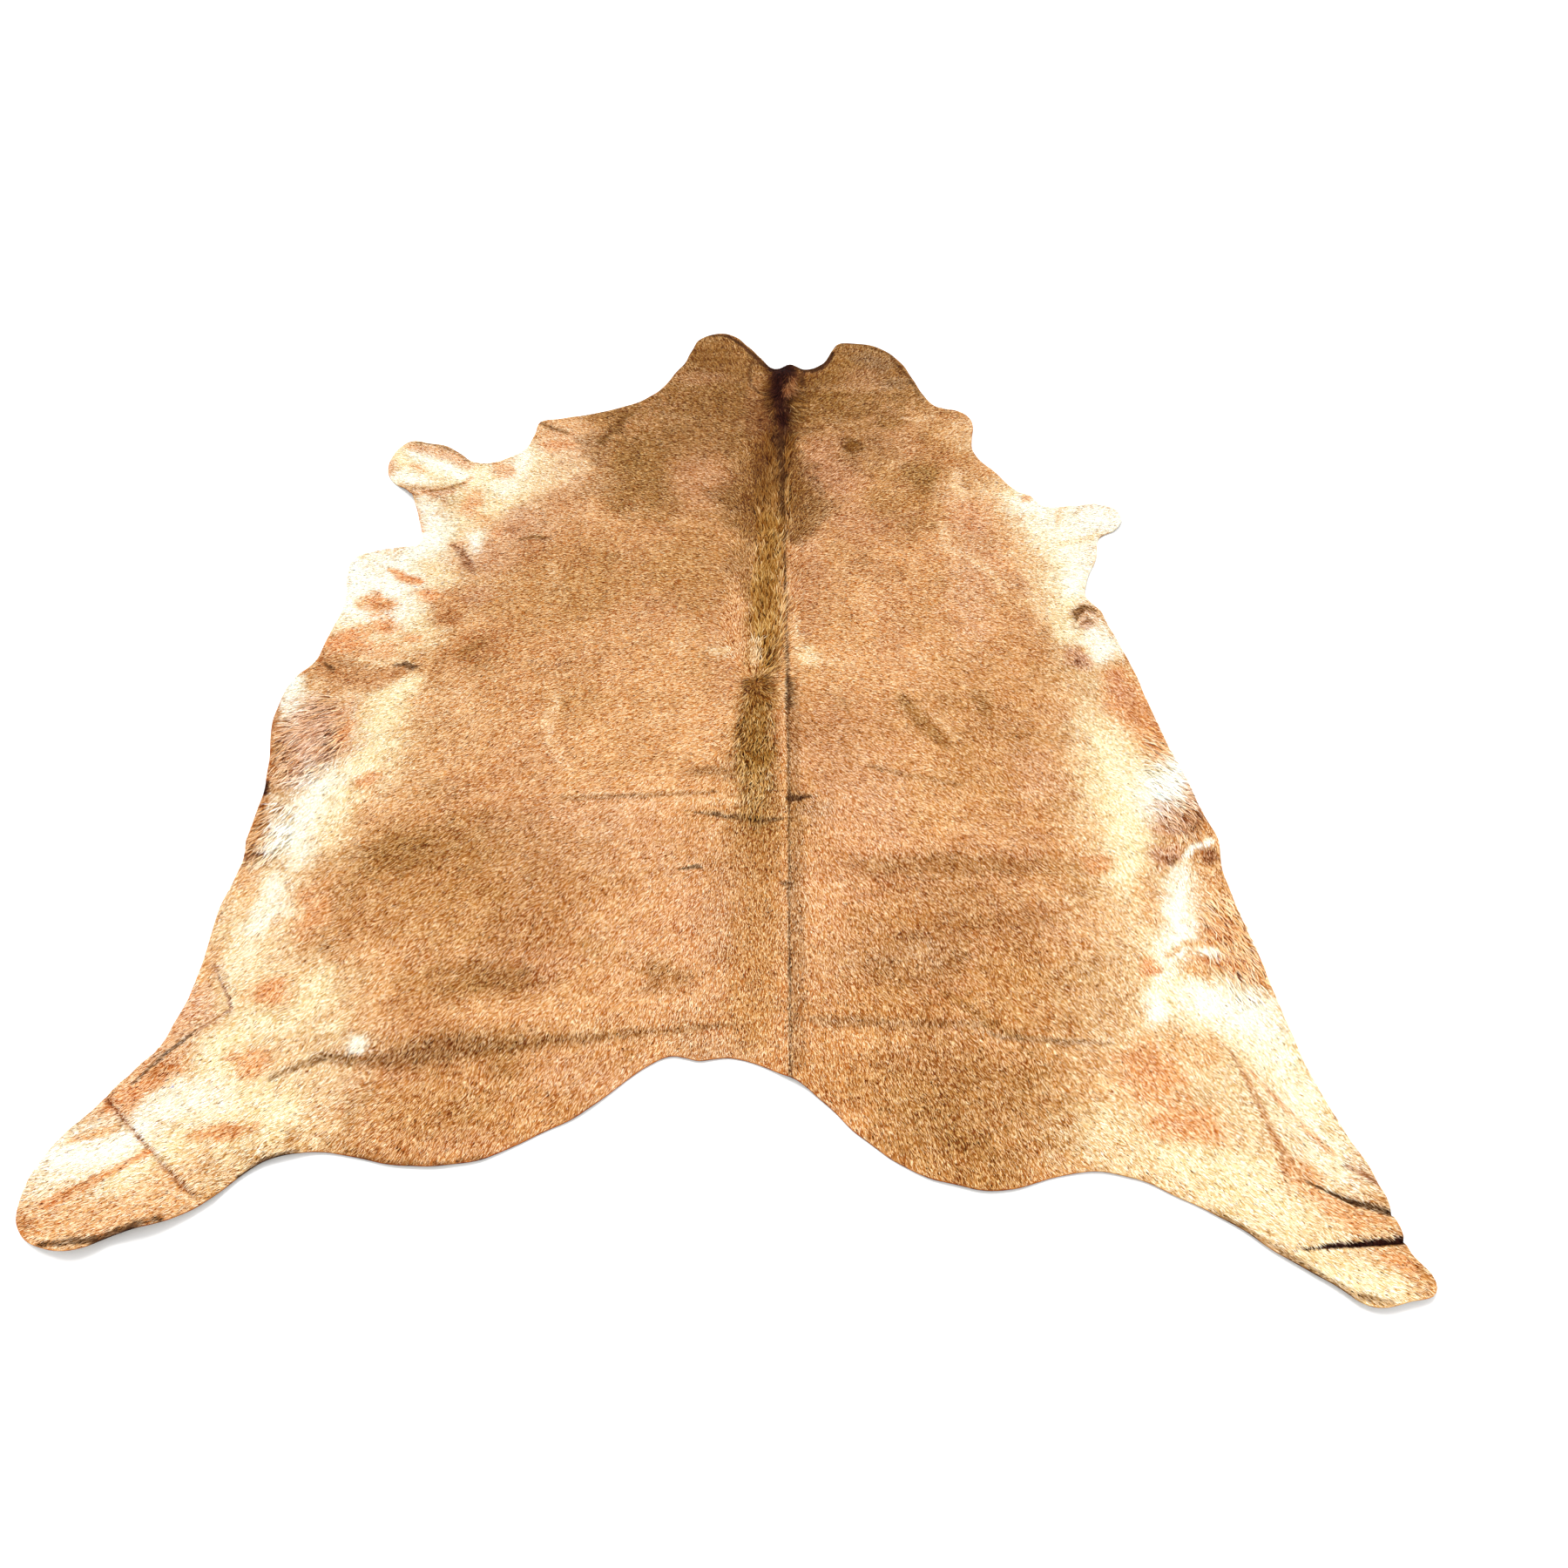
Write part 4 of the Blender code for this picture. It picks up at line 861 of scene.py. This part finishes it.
def hair_flow(x, y):
    """The direction in which the hair points at each place, as unit vectors in the plane."""
    x, y = x / CENTIMETRE, y / CENTIMETRE
    flow_x, flow_y = np.zeros(len(x)), np.zeros(len(x))
    for at_x, at_y, heading, reach in FLOW:
        away = ((x - at_x) ** 2 + (y - at_y) ** 2) / reach**2
        weight = np.exp(-away) + FAR_FLOW / (1.0 + away)
        flow_x += weight * math.cos(math.radians(heading))
        flow_y += weight * math.sin(math.radians(heading))
    length = np.maximum(np.hypot(flow_x, flow_y), 1e-9)
    flow_x, flow_y = flow_x / length, flow_y / length
    out_x, out_y = x - WHORL[0], y - WHORL[1]
    radius = np.maximum(np.hypot(out_x, out_y), 1e-5)
    pull = smooth_step(WHORL_EDGE - radius / WHORL_RADIUS)
    flow_x += WHORL_PULL * pull * out_x / radius
    flow_y += WHORL_PULL * pull * out_y / radius
    sway = FLOW_SWAY * fractal_noise(x, y, FLOW_SWAY_STEP, seed=61)
    turn = np.radians(sway + CLUMP_SWAY * value_noise(x, y, CLUMP_SWAY_STEP, seed=62))
    heading = np.arctan2(flow_y, flow_x) + turn
    return np.cos(heading), np.sin(heading)


def add_object(name, data):
    made = bpy.data.objects.new(name, data)
    bpy.context.scene.collection.objects.link(made)
    return made


def new_mesh_object(name, points, triangles):
    mesh = bpy.data.meshes.new(name)
    mesh.vertices.add(len(points))
    mesh.vertices.foreach_set("co", np.ascontiguousarray(points, np.float32).ravel())
    mesh.loops.add(3 * len(triangles))
    mesh.loops.foreach_set("vertex_index", np.ascontiguousarray(triangles, np.int32).ravel())
    mesh.polygons.add(len(triangles))
    mesh.polygons.foreach_set("loop_start", np.arange(0, 3 * len(triangles), 3, dtype=np.int32))
    mesh.update(calc_edges=True)
    return add_object(name, mesh)


def paint(made, colours):
    """Keeps a colour for each point as the attribute that the materials read."""
    rows = np.ones((len(colours), 4), np.float32)
    rows[:, :3] = colours
    layer = made.data.color_attributes.new("coat", "FLOAT_COLOR", "POINT")
    layer.data.foreach_set("color", rows.ravel())


def unit(vectors):
    """The same directions at a length of 1."""
    return vectors / np.linalg.norm(vectors, axis=1)[:, None]


def face_normals(points, triangles):
    """Each triangle's normal, as long as twice its area."""
    corners = points[triangles]
    return np.cross(corners[:, 1] - corners[:, 0], corners[:, 2] - corners[:, 0])


def point_normals(points, triangles):
    faces = face_normals(points, triangles)
    normals = np.stack([
        sum(np.bincount(triangles[:, corner], faces[:, axis], minlength=len(points)) for corner in range(3))
        for axis in range(3)
    ], axis=1)
    return unit(normals)


def upper_rim(mesh):
    """The rim of the solid's upper face as a closed loop of points, anticlockwise seen from above."""
    built = bmesh.new()
    built.from_mesh(mesh)
    bmesh.ops.remove_doubles(built, verts=built.verts, dist=WELD_DISTANCE)
    start = max(built.faces, key=lambda face: face.normal.z - face.calc_center_median().length)
    upper, waiting = {start}, [start]
    while waiting:
        face = waiting.pop()
        for edge in face.edges:
            for other in edge.link_faces:
                if other not in upper and other.normal.z > STEEPEST_UPPER:
                    upper.add(other)
                    waiting.append(other)
    following = {}
    for face in upper:
        for loop in face.loops:
            if any(other not in upper for other in loop.edge.link_faces):
                following[loop.vert] = loop.link_loop_next.vert
    rim = [min(following, key=lambda vert: vert.co.y)]
    while following[rim[-1]] is not rim[0]:
        rim.append(following[rim[-1]])
    points = np.array([vert.co[:] for vert in rim])
    built.free()
    return points


def rounded_loop(points, step):
    """A closed smooth curve through the points, with a point about every step."""
    before, after, beyond = (np.roll(points, shift, axis=0) for shift in (1, -1, -2))
    made = []
    for p0, p1, p2, p3 in zip(before, points, after, beyond):
        pieces = max(1, round(np.linalg.norm(p2 - p1) / step))
        for share in np.arange(pieces) / pieces:
            made.append(
                0.5 * (2 * p1 + (p2 - p0) * share + (2 * p0 - 5 * p1 + 4 * p2 - p3) * share**2
                       + (3 * p1 - p0 - 3 * p2 + p3) * share**3)
            )
    return np.array(made)


def is_inside(points, edge):
    """Which points lie inside the closed edge, seen from above."""
    inside = np.zeros(len(points), bool)
    for (x0, y0), (x1, y1) in zip(edge[:, :2], np.roll(edge[:, :2], -1, axis=0)):
        if y0 == y1:
            continue
        rows = np.nonzero((points[:, 1] > min(y0, y1)) & (points[:, 1] <= max(y0, y1)))[0]
        left_of = points[rows, 0] < x0 + (points[rows, 1] - y0) * (x1 - x0) / (y1 - y0)
        inside[rows[left_of]] ^= True
    return inside


def crease_points(half_width, path):
    """Rows of points along a crease and on both its sides."""
    rows = np.array(path)[:, :2] * CENTIMETRE
    half_width = half_width * CENTIMETRE
    steps = np.linalg.norm(np.diff(rows, axis=0), axis=1)
    run = np.concatenate([[0.0], np.cumsum(steps)])
    stops = np.linspace(0.0, run[-1], max(2, round(run[-1] / CREASE_STEP) + 1))
    line = np.stack([np.interp(stops, run, rows[:, axis]) for axis in (0, 1)], axis=1)
    ahead = unit(np.gradient(line, axis=0))
    left = np.stack([-ahead[:, 1], ahead[:, 0]], axis=1)
    return np.vstack([line + left * half_width * offset for offset in CREASE_OFFSETS])


def with_clear(kept, added, gap):
    """The kept points, and those of the added ones that stay clear of them by the gap."""
    tree = KDTree(len(kept))
    for index, (x, y) in enumerate(kept):
        tree.insert((x, y, 0.0), index)
    tree.balance()
    clear = [tree.find((x, y, 0.0))[2] > gap for x, y in added]
    return np.vstack([kept, added[np.array(clear, bool)]])


def sheet_plan(rim):
    """The plan of the sheet: its points, its triangles and, in order, the points on its rim."""
    half_x, half_y = np.abs(rim[:, :2]).max(axis=0) + SHEET_STEP
    row_step = SHEET_STEP * math.sqrt(3) / 2
    rows = np.arange(-round(half_y / row_step), round(half_y / row_step) + 1)
    columns = np.arange(-round(half_x / SHEET_STEP) - 1, round(half_x / SHEET_STEP) + 1)
    lattice = np.stack(np.meshgrid(columns * SHEET_STEP, rows * row_step), axis=-1)
    lattice[:, :, 0] += (rows % 2 * SHEET_STEP / 2)[:, None]
    creases = np.vstack([crease_points(half_width, path) for half_width, path in CREASES])
    points = rim[:, :2]
    for added, gap in ((creases, CREASE_GAP), (lattice.reshape(-1, 2), SHEET_GAP)):
        points = with_clear(points, added[is_inside(added, rim)], gap)
    outline = list(range(len(rim)))
    flat, _, triangles, origins, _, _ = delaunay_2d_cdt(
        [Vector(point) for point in points], [], [outline], INSIDE_ONLY, MERGE_DISTANCE
    )
    where = {old: new for new, olds in enumerate(origins) for old in olds}
    return (
        np.array([point[:] for point in flat]),
        np.array([list(triangle) for triangle in triangles]),
        np.array([where[index] for index in outline]),
    )


def solid_heights(plan):
    """The height of the solid's upper face at each place."""
    solid = BVHTree.FromPolygons(
        [vertex.co[:] for vertex in HIDE.data.vertices],
        [polygon.vertices[:] for polygon in HIDE.data.polygons],
    )
    heights = np.full(len(plan), LEATHER_THICKNESS)
    for index, (x, y) in enumerate(plan):
        hit = solid.ray_cast(Vector((x, y, 1.0)), Vector((0.0, 0.0, -1.0)))[0]
        if hit:
            heights[index] = hit.z
    return heights


def smoothed(heights, triangles, fixed):
    """The heights drawn towards the mean of their neighbours, apart from the fixed ones."""
    ends = np.vstack([triangles[:, [0, 1]], triangles[:, [1, 2]], triangles[:, [2, 0]]])
    near = np.concatenate([ends[:, 0], ends[:, 1]])
    far = np.concatenate([ends[:, 1], ends[:, 0]])
    count = np.bincount(near, minlength=len(heights))
    for _ in range(SMOOTH_PASSES):
        mean = np.bincount(near, heights[far], minlength=len(heights)) / count
        heights = np.where(fixed, heights, (1.0 - SMOOTH_SHARE) * heights + SMOOTH_SHARE * mean)
    return heights


def crease_rise(x, y):
    """How far the sheet's own creases lift it, in metres."""
    x, y = x / CENTIMETRE, y / CENTIMETRE
    rise = np.zeros(len(x))
    for half_width, path in CREASES:
        mask = near_path(x, y, path, half_width)
        distance, height = nearest_on_path(x[mask], y[mask], path)
        rise[mask] += height * smooth_step(1.0 - distance / half_width)
    return rise * CENTIMETRE


def sheet_top():
    """The hair side of the leather: its points, its triangles and, in order, the points on its rim."""
    rim = rounded_loop(upper_rim(HIDE.data), OUTLINE_STEP)
    plan, triangles, order = sheet_plan(rim)
    heights = solid_heights(plan)
    heights[order] = rim[:, 2]
    on_rim = np.zeros(len(plan), bool)
    on_rim[order] = True
    heights = smoothed(heights, triangles, on_rim)
    x, y = plan.T
    heights += crease_rise(x, y)
    heights += SWELL_HEIGHT * (1.0 + fractal_noise(x, y, SWELL_STEP, seed=71))
    heights = np.maximum(heights, LEATHER_THICKNESS)
    return np.column_stack([plan, heights]), triangles, order


def build_sheet(top, triangles, order):
    """Closes the hair side with a flesh side and a slightly rounded cut edge."""
    under = top.copy()
    under[:, 2] -= LEATHER_THICKNESS / np.maximum(point_normals(top, triangles)[:, 2], STEEPEST_UNDER)
    under[:, 2] = np.maximum(under[:, 2], 0.0)
    ahead = unit(np.roll(top[order, :2], -1, axis=0) - np.roll(top[order, :2], 1, axis=0))
    middle = (top[order] + under[order]) / 2
    middle[:, 0] += ahead[:, 1] * CUT_EDGE_BULGE
    middle[:, 1] -= ahead[:, 0] * CUT_EDGE_BULGE
    count = len(top)
    points = np.vstack([top, under, middle])
    ring = 2 * count + np.arange(len(order))
    edge_faces = []
    for upper, lower in ((order, ring), (ring, order + count)):
        next_upper, next_lower = np.roll(upper, -1), np.roll(lower, -1)
        edge_faces.append(np.column_stack([upper, lower, next_lower]))
        edge_faces.append(np.column_stack([upper, next_lower, next_upper]))
    sides = (triangles, triangles[:, ::-1] + count, np.vstack(edge_faces))
    faces = np.vstack(sides)
    made = new_mesh_object("hide_leather", points, faces)
    made.data.polygons.foreach_set("use_smooth", np.ones(len(faces), bool))
    slots = np.repeat(np.arange(3, dtype=np.int32), [len(side) for side in sides])
    made.data.polygons.foreach_set("material_index", slots)
    for material in (skin_material(), flesh_material(), cut_edge_material()):
        made.data.materials.append(material)
    made.data.set_sharp_from_angle(angle=math.radians(CUT_EDGE_ANGLE))
    x, y = points[:, 0], points[:, 1]
    # painted shade: the leather between the hairs is darker than the coat
    tones = SKIN_TONE + coat_tones(x, y)
    # the cut edge darker still: painted shade along it
    tones[count:] += EDGE_TONE
    paint(made, toned(coat_colours(x, y), tones))
    return made


def spread_roots(top, triangles, count, rng):
    """Places spread evenly over the hair side, with the leather's normal at each."""
    ends = np.cumsum(np.linalg.norm(face_normals(top, triangles), axis=1))
    picks = np.searchsorted(ends, (np.arange(count) + rng.random(count)) / count * ends[-1])
    picks = np.minimum(picks, len(triangles) - 1)
    first, second = rng.random(count), rng.random(count)
    over = first + second > 1.0
    first[over], second[over] = 1.0 - first[over], 1.0 - second[over]
    shares = np.stack([1.0 - first - second, first, second], axis=1)[:, :, None]
    places, upright = (
        (values[triangles[picks]] * shares).sum(axis=1) for values in (top, point_normals(top, triangles))
    )
    return places, unit(upright)


def lying_frame(places, upright, rng, stray):
    """Per hair: the direction in which it lies along the leather, and the direction across it."""
    flow_x, flow_y = hair_flow(places[:, 0], places[:, 1])
    turn = np.radians(stray) * rng.normal(0.0, STRAY_SPREAD, len(places))
    turned_x = flow_x * np.cos(turn) - flow_y * np.sin(turn)
    turned_y = flow_x * np.sin(turn) + flow_y * np.cos(turn)
    drop = -(upright[:, 0] * turned_x + upright[:, 1] * turned_y) / upright[:, 2]
    along = unit(np.column_stack([turned_x, turned_y, drop]))
    return along, np.cross(upright, along)


def trimmed(places, along, length, rim):
    """Hair that would reach past the cut edge is shortened, so that only its tip hangs over."""
    length = length.copy()
    for _ in range(OVERHANG_PASSES):
        past = ~is_inside(places[:, :2] + along[:, :2] * length[:, None], rim)
        length[past] *= OVERHANG_KEEP
    return length


def hair_piece(name, points, colours, faces):
    """A piece made of hairs, from one row of points and colours for each and the faces of one hair."""
    points[:, :, 2] = np.maximum(points[:, :, 2], LOWEST_HAIR)
    count, width = points.shape[:2]
    faces = np.array(faces) + width * np.arange(count)[:, None, None]
    piece = new_mesh_object(name, points.reshape(-1, 3), faces.reshape(-1, 3))
    paint(piece, colours.reshape(-1, 3))
    return piece


def short_hair(top, triangles, rim):
    """The lying coat: one thin pointed blade for each lock of a few hairs."""
    rng = np.random.default_rng(SHORT_HAIR_SEED)
    places, upright = spread_roots(top, triangles, HAIR_COUNT, rng)
    along, across = lying_frame(places, upright, rng, HAIR_STRAY)
    length = trimmed(places, along, HAIR_LENGTH * rng.uniform(*HAIR_LENGTHS, HAIR_COUNT), rim)
    width = HAIR_WIDTH * rng.uniform(*HAIR_WIDTHS, HAIR_COUNT)
    lift = np.radians(HAIR_LIFT) * rng.uniform(*HAIR_LIFTS, HAIR_COUNT)
    roll = np.radians(HAIR_ROLL) * rng.uniform(-1.0, 1.0, HAIR_COUNT)
    side = across * np.cos(roll)[:, None] + upright * np.sin(roll)[:, None]
    side *= (width / 2)[:, None]
    tips = places + along * (length * np.cos(lift))[:, None] + upright * (length * np.sin(lift))[:, None]
    roots = places + upright * ROOT_HEIGHT
    points = np.stack([roots - side, roots + side, tips], axis=1)
    shade = tinted(coat_colours(places[:, 0], places[:, 1]), rng)
    tone = hair_tones(places[:, 0], places[:, 1], rng)
    # painted shade at the roots and painted light at the tips
    colours = np.stack([toned(shade, tone + end) for end in (ROOT_TONE, ROOT_TONE, TIP_TONE)], axis=1)
    order = np.argsort(places[:, 1], kind="stable")
    return [
        hair_piece(name, points[picks], colours[picks], [(0, 1, 2)])
        for name, picks in zip(COAT_BANDS, np.array_split(order, len(COAT_BANDS)))
    ]


def long_hair(top, triangles, rim):
    """Longer curved locks along the back, the neck's tuft and the belly's edges."""
    rng = np.random.default_rng(LONG_HAIR_SEED)
    many, many_up = spread_roots(top, triangles, LONG_HAIR_PLACES * LONG_HAIR_COUNT, rng)
    picks, lengths = [], []
    for at_x, at_y, half_length, half_width, turn, hair_length, share in LONG_HAIR:
        away_x, away_y = many[:, 0] / CENTIMETRE - at_x, many[:, 1] / CENTIMETRE - at_y
        distance = ellipse_distance(away_x, away_y, half_length, half_width, turn)
        near = np.nonzero(distance < rng.uniform(LONG_HAIR_CORE, 1.0, len(many)))[0]
        near = rng.permutation(near)[: round(LONG_HAIR_COUNT * share)]
        picks.append(near)
        lengths.append(np.full(len(near), hair_length * CENTIMETRE))
    picks, lengths = np.concatenate(picks), np.concatenate(lengths)
    places, upright, count = many[picks], many_up[picks], len(picks)
    along, across = lying_frame(places, upright, rng, LONG_HAIR_STRAY)
    length = trimmed(places, along, lengths * rng.uniform(*LONG_HAIR_LENGTHS, count), rim)
    width = LONG_HAIR_WIDTH * rng.uniform(*HAIR_WIDTHS, count)
    bend = length * rng.normal(0.0, LONG_HAIR_BEND, count)
    rise = np.minimum(LONG_HAIR_RISE * rng.uniform(*LONG_HAIR_RISES, count), STEEPEST_RISE * length)
    tone = hair_tones(places[:, 0], places[:, 1], rng)
    shade = tinted(coat_colours(places[:, 0], places[:, 1]), rng)
    points, colours = [], []
    for share, thickness in LONG_HAIR_CUTS:
        lift = rise * math.sin(share * math.pi * LONG_HAIR_ARCH)
        middle = (
            places + along * (length * share)[:, None] + across * (bend * share**2)[:, None]
            + upright * (lift + ROOT_HEIGHT)[:, None]
        )
        half = across * (width * thickness / 2)[:, None]
        points += [middle - half, middle + half] if thickness else [middle]
        # painted shade towards the root and painted light towards the tip
        end_tone = ROOT_TONE + (TIP_TONE - ROOT_TONE) * share
        colours += [toned(shade, tone + end_tone)] * (2 if thickness else 1)
    ribbon = [(0, 1, 3), (0, 3, 2), (2, 3, 5), (2, 5, 4), (4, 5, 6)]
    return hair_piece("hair_long", np.stack(points, axis=1), np.stack(colours, axis=1), ribbon)


def add_bake_map(piece):
    """A map of the piece as seen from above."""
    points = np.empty(3 * len(piece.data.vertices), np.float32)
    piece.data.vertices.foreach_get("co", points)
    corners = np.empty(len(piece.data.loops), np.int32)
    piece.data.loops.foreach_get("vertex_index", corners)
    places = points.reshape(-1, 3)[corners][:, :2]
    low, high = places.min(axis=0), places.max(axis=0)
    layer = piece.data.uv_layers.new(name="OFBake")
    layer.uv.foreach_set("vector", ((places - low) / (high - low)).astype(np.float32).ravel())


def new_material(name, roughness, specular):
    """A material with its shader, its nodes and its links."""
    material = bpy.data.materials.new(name)
    material.use_nodes = True
    nodes, links = material.node_tree.nodes, material.node_tree.links
    shader = nodes["Principled BSDF"]
    shader.inputs["Roughness"].default_value = roughness
    shader.inputs["Specular IOR Level"].default_value = specular
    return material, shader, nodes, links


def add_noise(nodes, links, scale, detail):
    place = nodes.new("ShaderNodeTexCoord")
    noise = nodes.new("ShaderNodeTexNoise")
    noise.inputs["Scale"].default_value = scale
    noise.inputs["Detail"].default_value = detail
    links.new(place.outputs["Object"], noise.inputs["Vector"])
    return noise


def add_bump(nodes, links, noise, strength, distance):
    bump = nodes.new("ShaderNodeBump")
    bump.inputs["Strength"].default_value = strength
    bump.inputs["Distance"].default_value = distance
    links.new(noise.outputs["Fac"], bump.inputs["Height"])
    links.new(bump.outputs["Normal"], nodes["Principled BSDF"].inputs["Normal"])


def coat_material(name, roughness, specular, scale, grain, bump=None):
    """The coat's own colours with a fine grain. The bump, if there is one, is its strength and depth."""
    material, shader, nodes, links = new_material(name, roughness, specular)
    colour = nodes.new("ShaderNodeVertexColor")
    colour.layer_name = "coat"
    noise = add_noise(nodes, links, scale, detail=3.0)
    level = nodes.new("ShaderNodeMapRange")
    level.inputs["From Min"].default_value = 0.3
    level.inputs["From Max"].default_value = 0.7
    level.inputs["To Min"].default_value = 1.0 - grain
    level.inputs["To Max"].default_value = 1.0 + grain
    links.new(noise.outputs["Fac"], level.inputs["Value"])
    mixed = nodes.new("ShaderNodeVectorMath")
    mixed.operation = "SCALE"
    links.new(colour.outputs["Color"], mixed.inputs[0])
    links.new(level.outputs["Result"], mixed.inputs["Scale"])
    links.new(mixed.outputs["Vector"], shader.inputs["Base Color"])
    if bump:
        add_bump(nodes, links, noise, *bump)
    return material


def hair_material():
    """Matt hair, with hardly any gloss of its own."""
    return coat_material("lying_hair", roughness=0.75, specular=0.03, scale=260.0, grain=0.08)


def skin_material():
    """The leather between the roots of the hair, in darker coat colours that paint the shade among the
    hairs.
    """
    return coat_material(
        "hair_roots", roughness=0.85, specular=0.20, scale=420.0, grain=0.25, bump=(0.35, 0.0006)
    )


def cut_edge_material():
    """The thin side of the leather, in the coat's colours made much darker: painted shade along the cut
    edge.
    """
    return coat_material(
        "cut_edge", roughness=0.90, specular=0.15, scale=300.0, grain=0.35, bump=(0.4, 0.0005)
    )


def flesh_material():
    """The underside: pale matt suede, cloudy and finely rough."""
    material, shader, nodes, links = new_material("suede_flesh_side", roughness=0.95, specular=0.15)
    clouds = add_noise(nodes, links, scale=9.0, detail=6.0)
    ramp = nodes.new("ShaderNodeValToRGB")
    stops = ((0.35, (0.42, 0.36, 0.29, 1.0)), (0.68, (0.60, 0.54, 0.45, 1.0)))
    for element, (position, colour) in zip(ramp.color_ramp.elements, stops):
        element.position = position
        element.color = colour
    links.new(clouds.outputs["Fac"], ramp.inputs["Fac"])
    links.new(ramp.outputs["Color"], shader.inputs["Base Color"])
    nap = add_noise(nodes, links, scale=900.0, detail=2.0)
    add_bump(nodes, links, nap, strength=0.5, distance=0.0005)
    return material


def build_floor():
    half = FLOOR_SIZE / 2
    corners = [(x, y, -FLOOR_GAP) for x, y in ((-half, -half), (half, -half), (half, half), (-half, half))]
    floor = new_mesh_object("floor", np.array(corners), np.array([(0, 1, 2), (0, 2, 3)]))
    material, shader, _, _ = new_material("pale_floor", roughness=0.9, specular=0.1)
    shader.inputs["Base Color"].default_value = FLOOR_COLOUR
    floor.data.materials.append(material)


def build_light():
    world = bpy.data.worlds.new("soft_white")
    world.use_nodes = True
    background = world.node_tree.nodes["Background"]
    background.inputs["Color"].default_value = SKY_COLOUR
    background.inputs["Strength"].default_value = SKY_STRENGTH
    bpy.context.scene.world = world
    data = bpy.data.lights.new("key", "SUN")
    data.energy = KEY_STRENGTH
    data.color = KEY_COLOUR
    data.angle = math.radians(KEY_ANGLE)
    azimuth, elevation = math.radians(KEY_AZIMUTH), math.radians(KEY_ELEVATION)
    level = math.cos(elevation)
    towards = Vector((math.cos(azimuth) * level, math.sin(azimuth) * level, math.sin(elevation)))
    add_object("key", data).rotation_euler = towards.to_track_quat("Z", "Y").to_euler()
    bpy.context.scene.view_settings.view_transform = "Standard"


def build_camera():
    data = bpy.data.cameras.new("camera")
    data.lens = CAMERA_LENS
    data.sensor_width = CAMERA_SENSOR
    camera = add_object("camera", data)
    camera.location = CAMERA_PLACE
    camera.rotation_euler = (math.radians(90.0 - CAMERA_PITCH), 0.0, 0.0)
    bpy.context.scene.camera = camera


def build_hide():
    top, triangles, order = sheet_top()
    leather = build_sheet(top, triangles, order)
    hair = short_hair(top, triangles, top[order])
    hair.append(long_hair(top, triangles, top[order]))
    material = hair_material()
    for piece in hair:
        piece.data.materials.append(material)
        add_bake_map(piece)
        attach(piece, "root")
    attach(leather, "root")
    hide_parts("hide")


build_camera()
build_light()
build_floor()
build_hide()
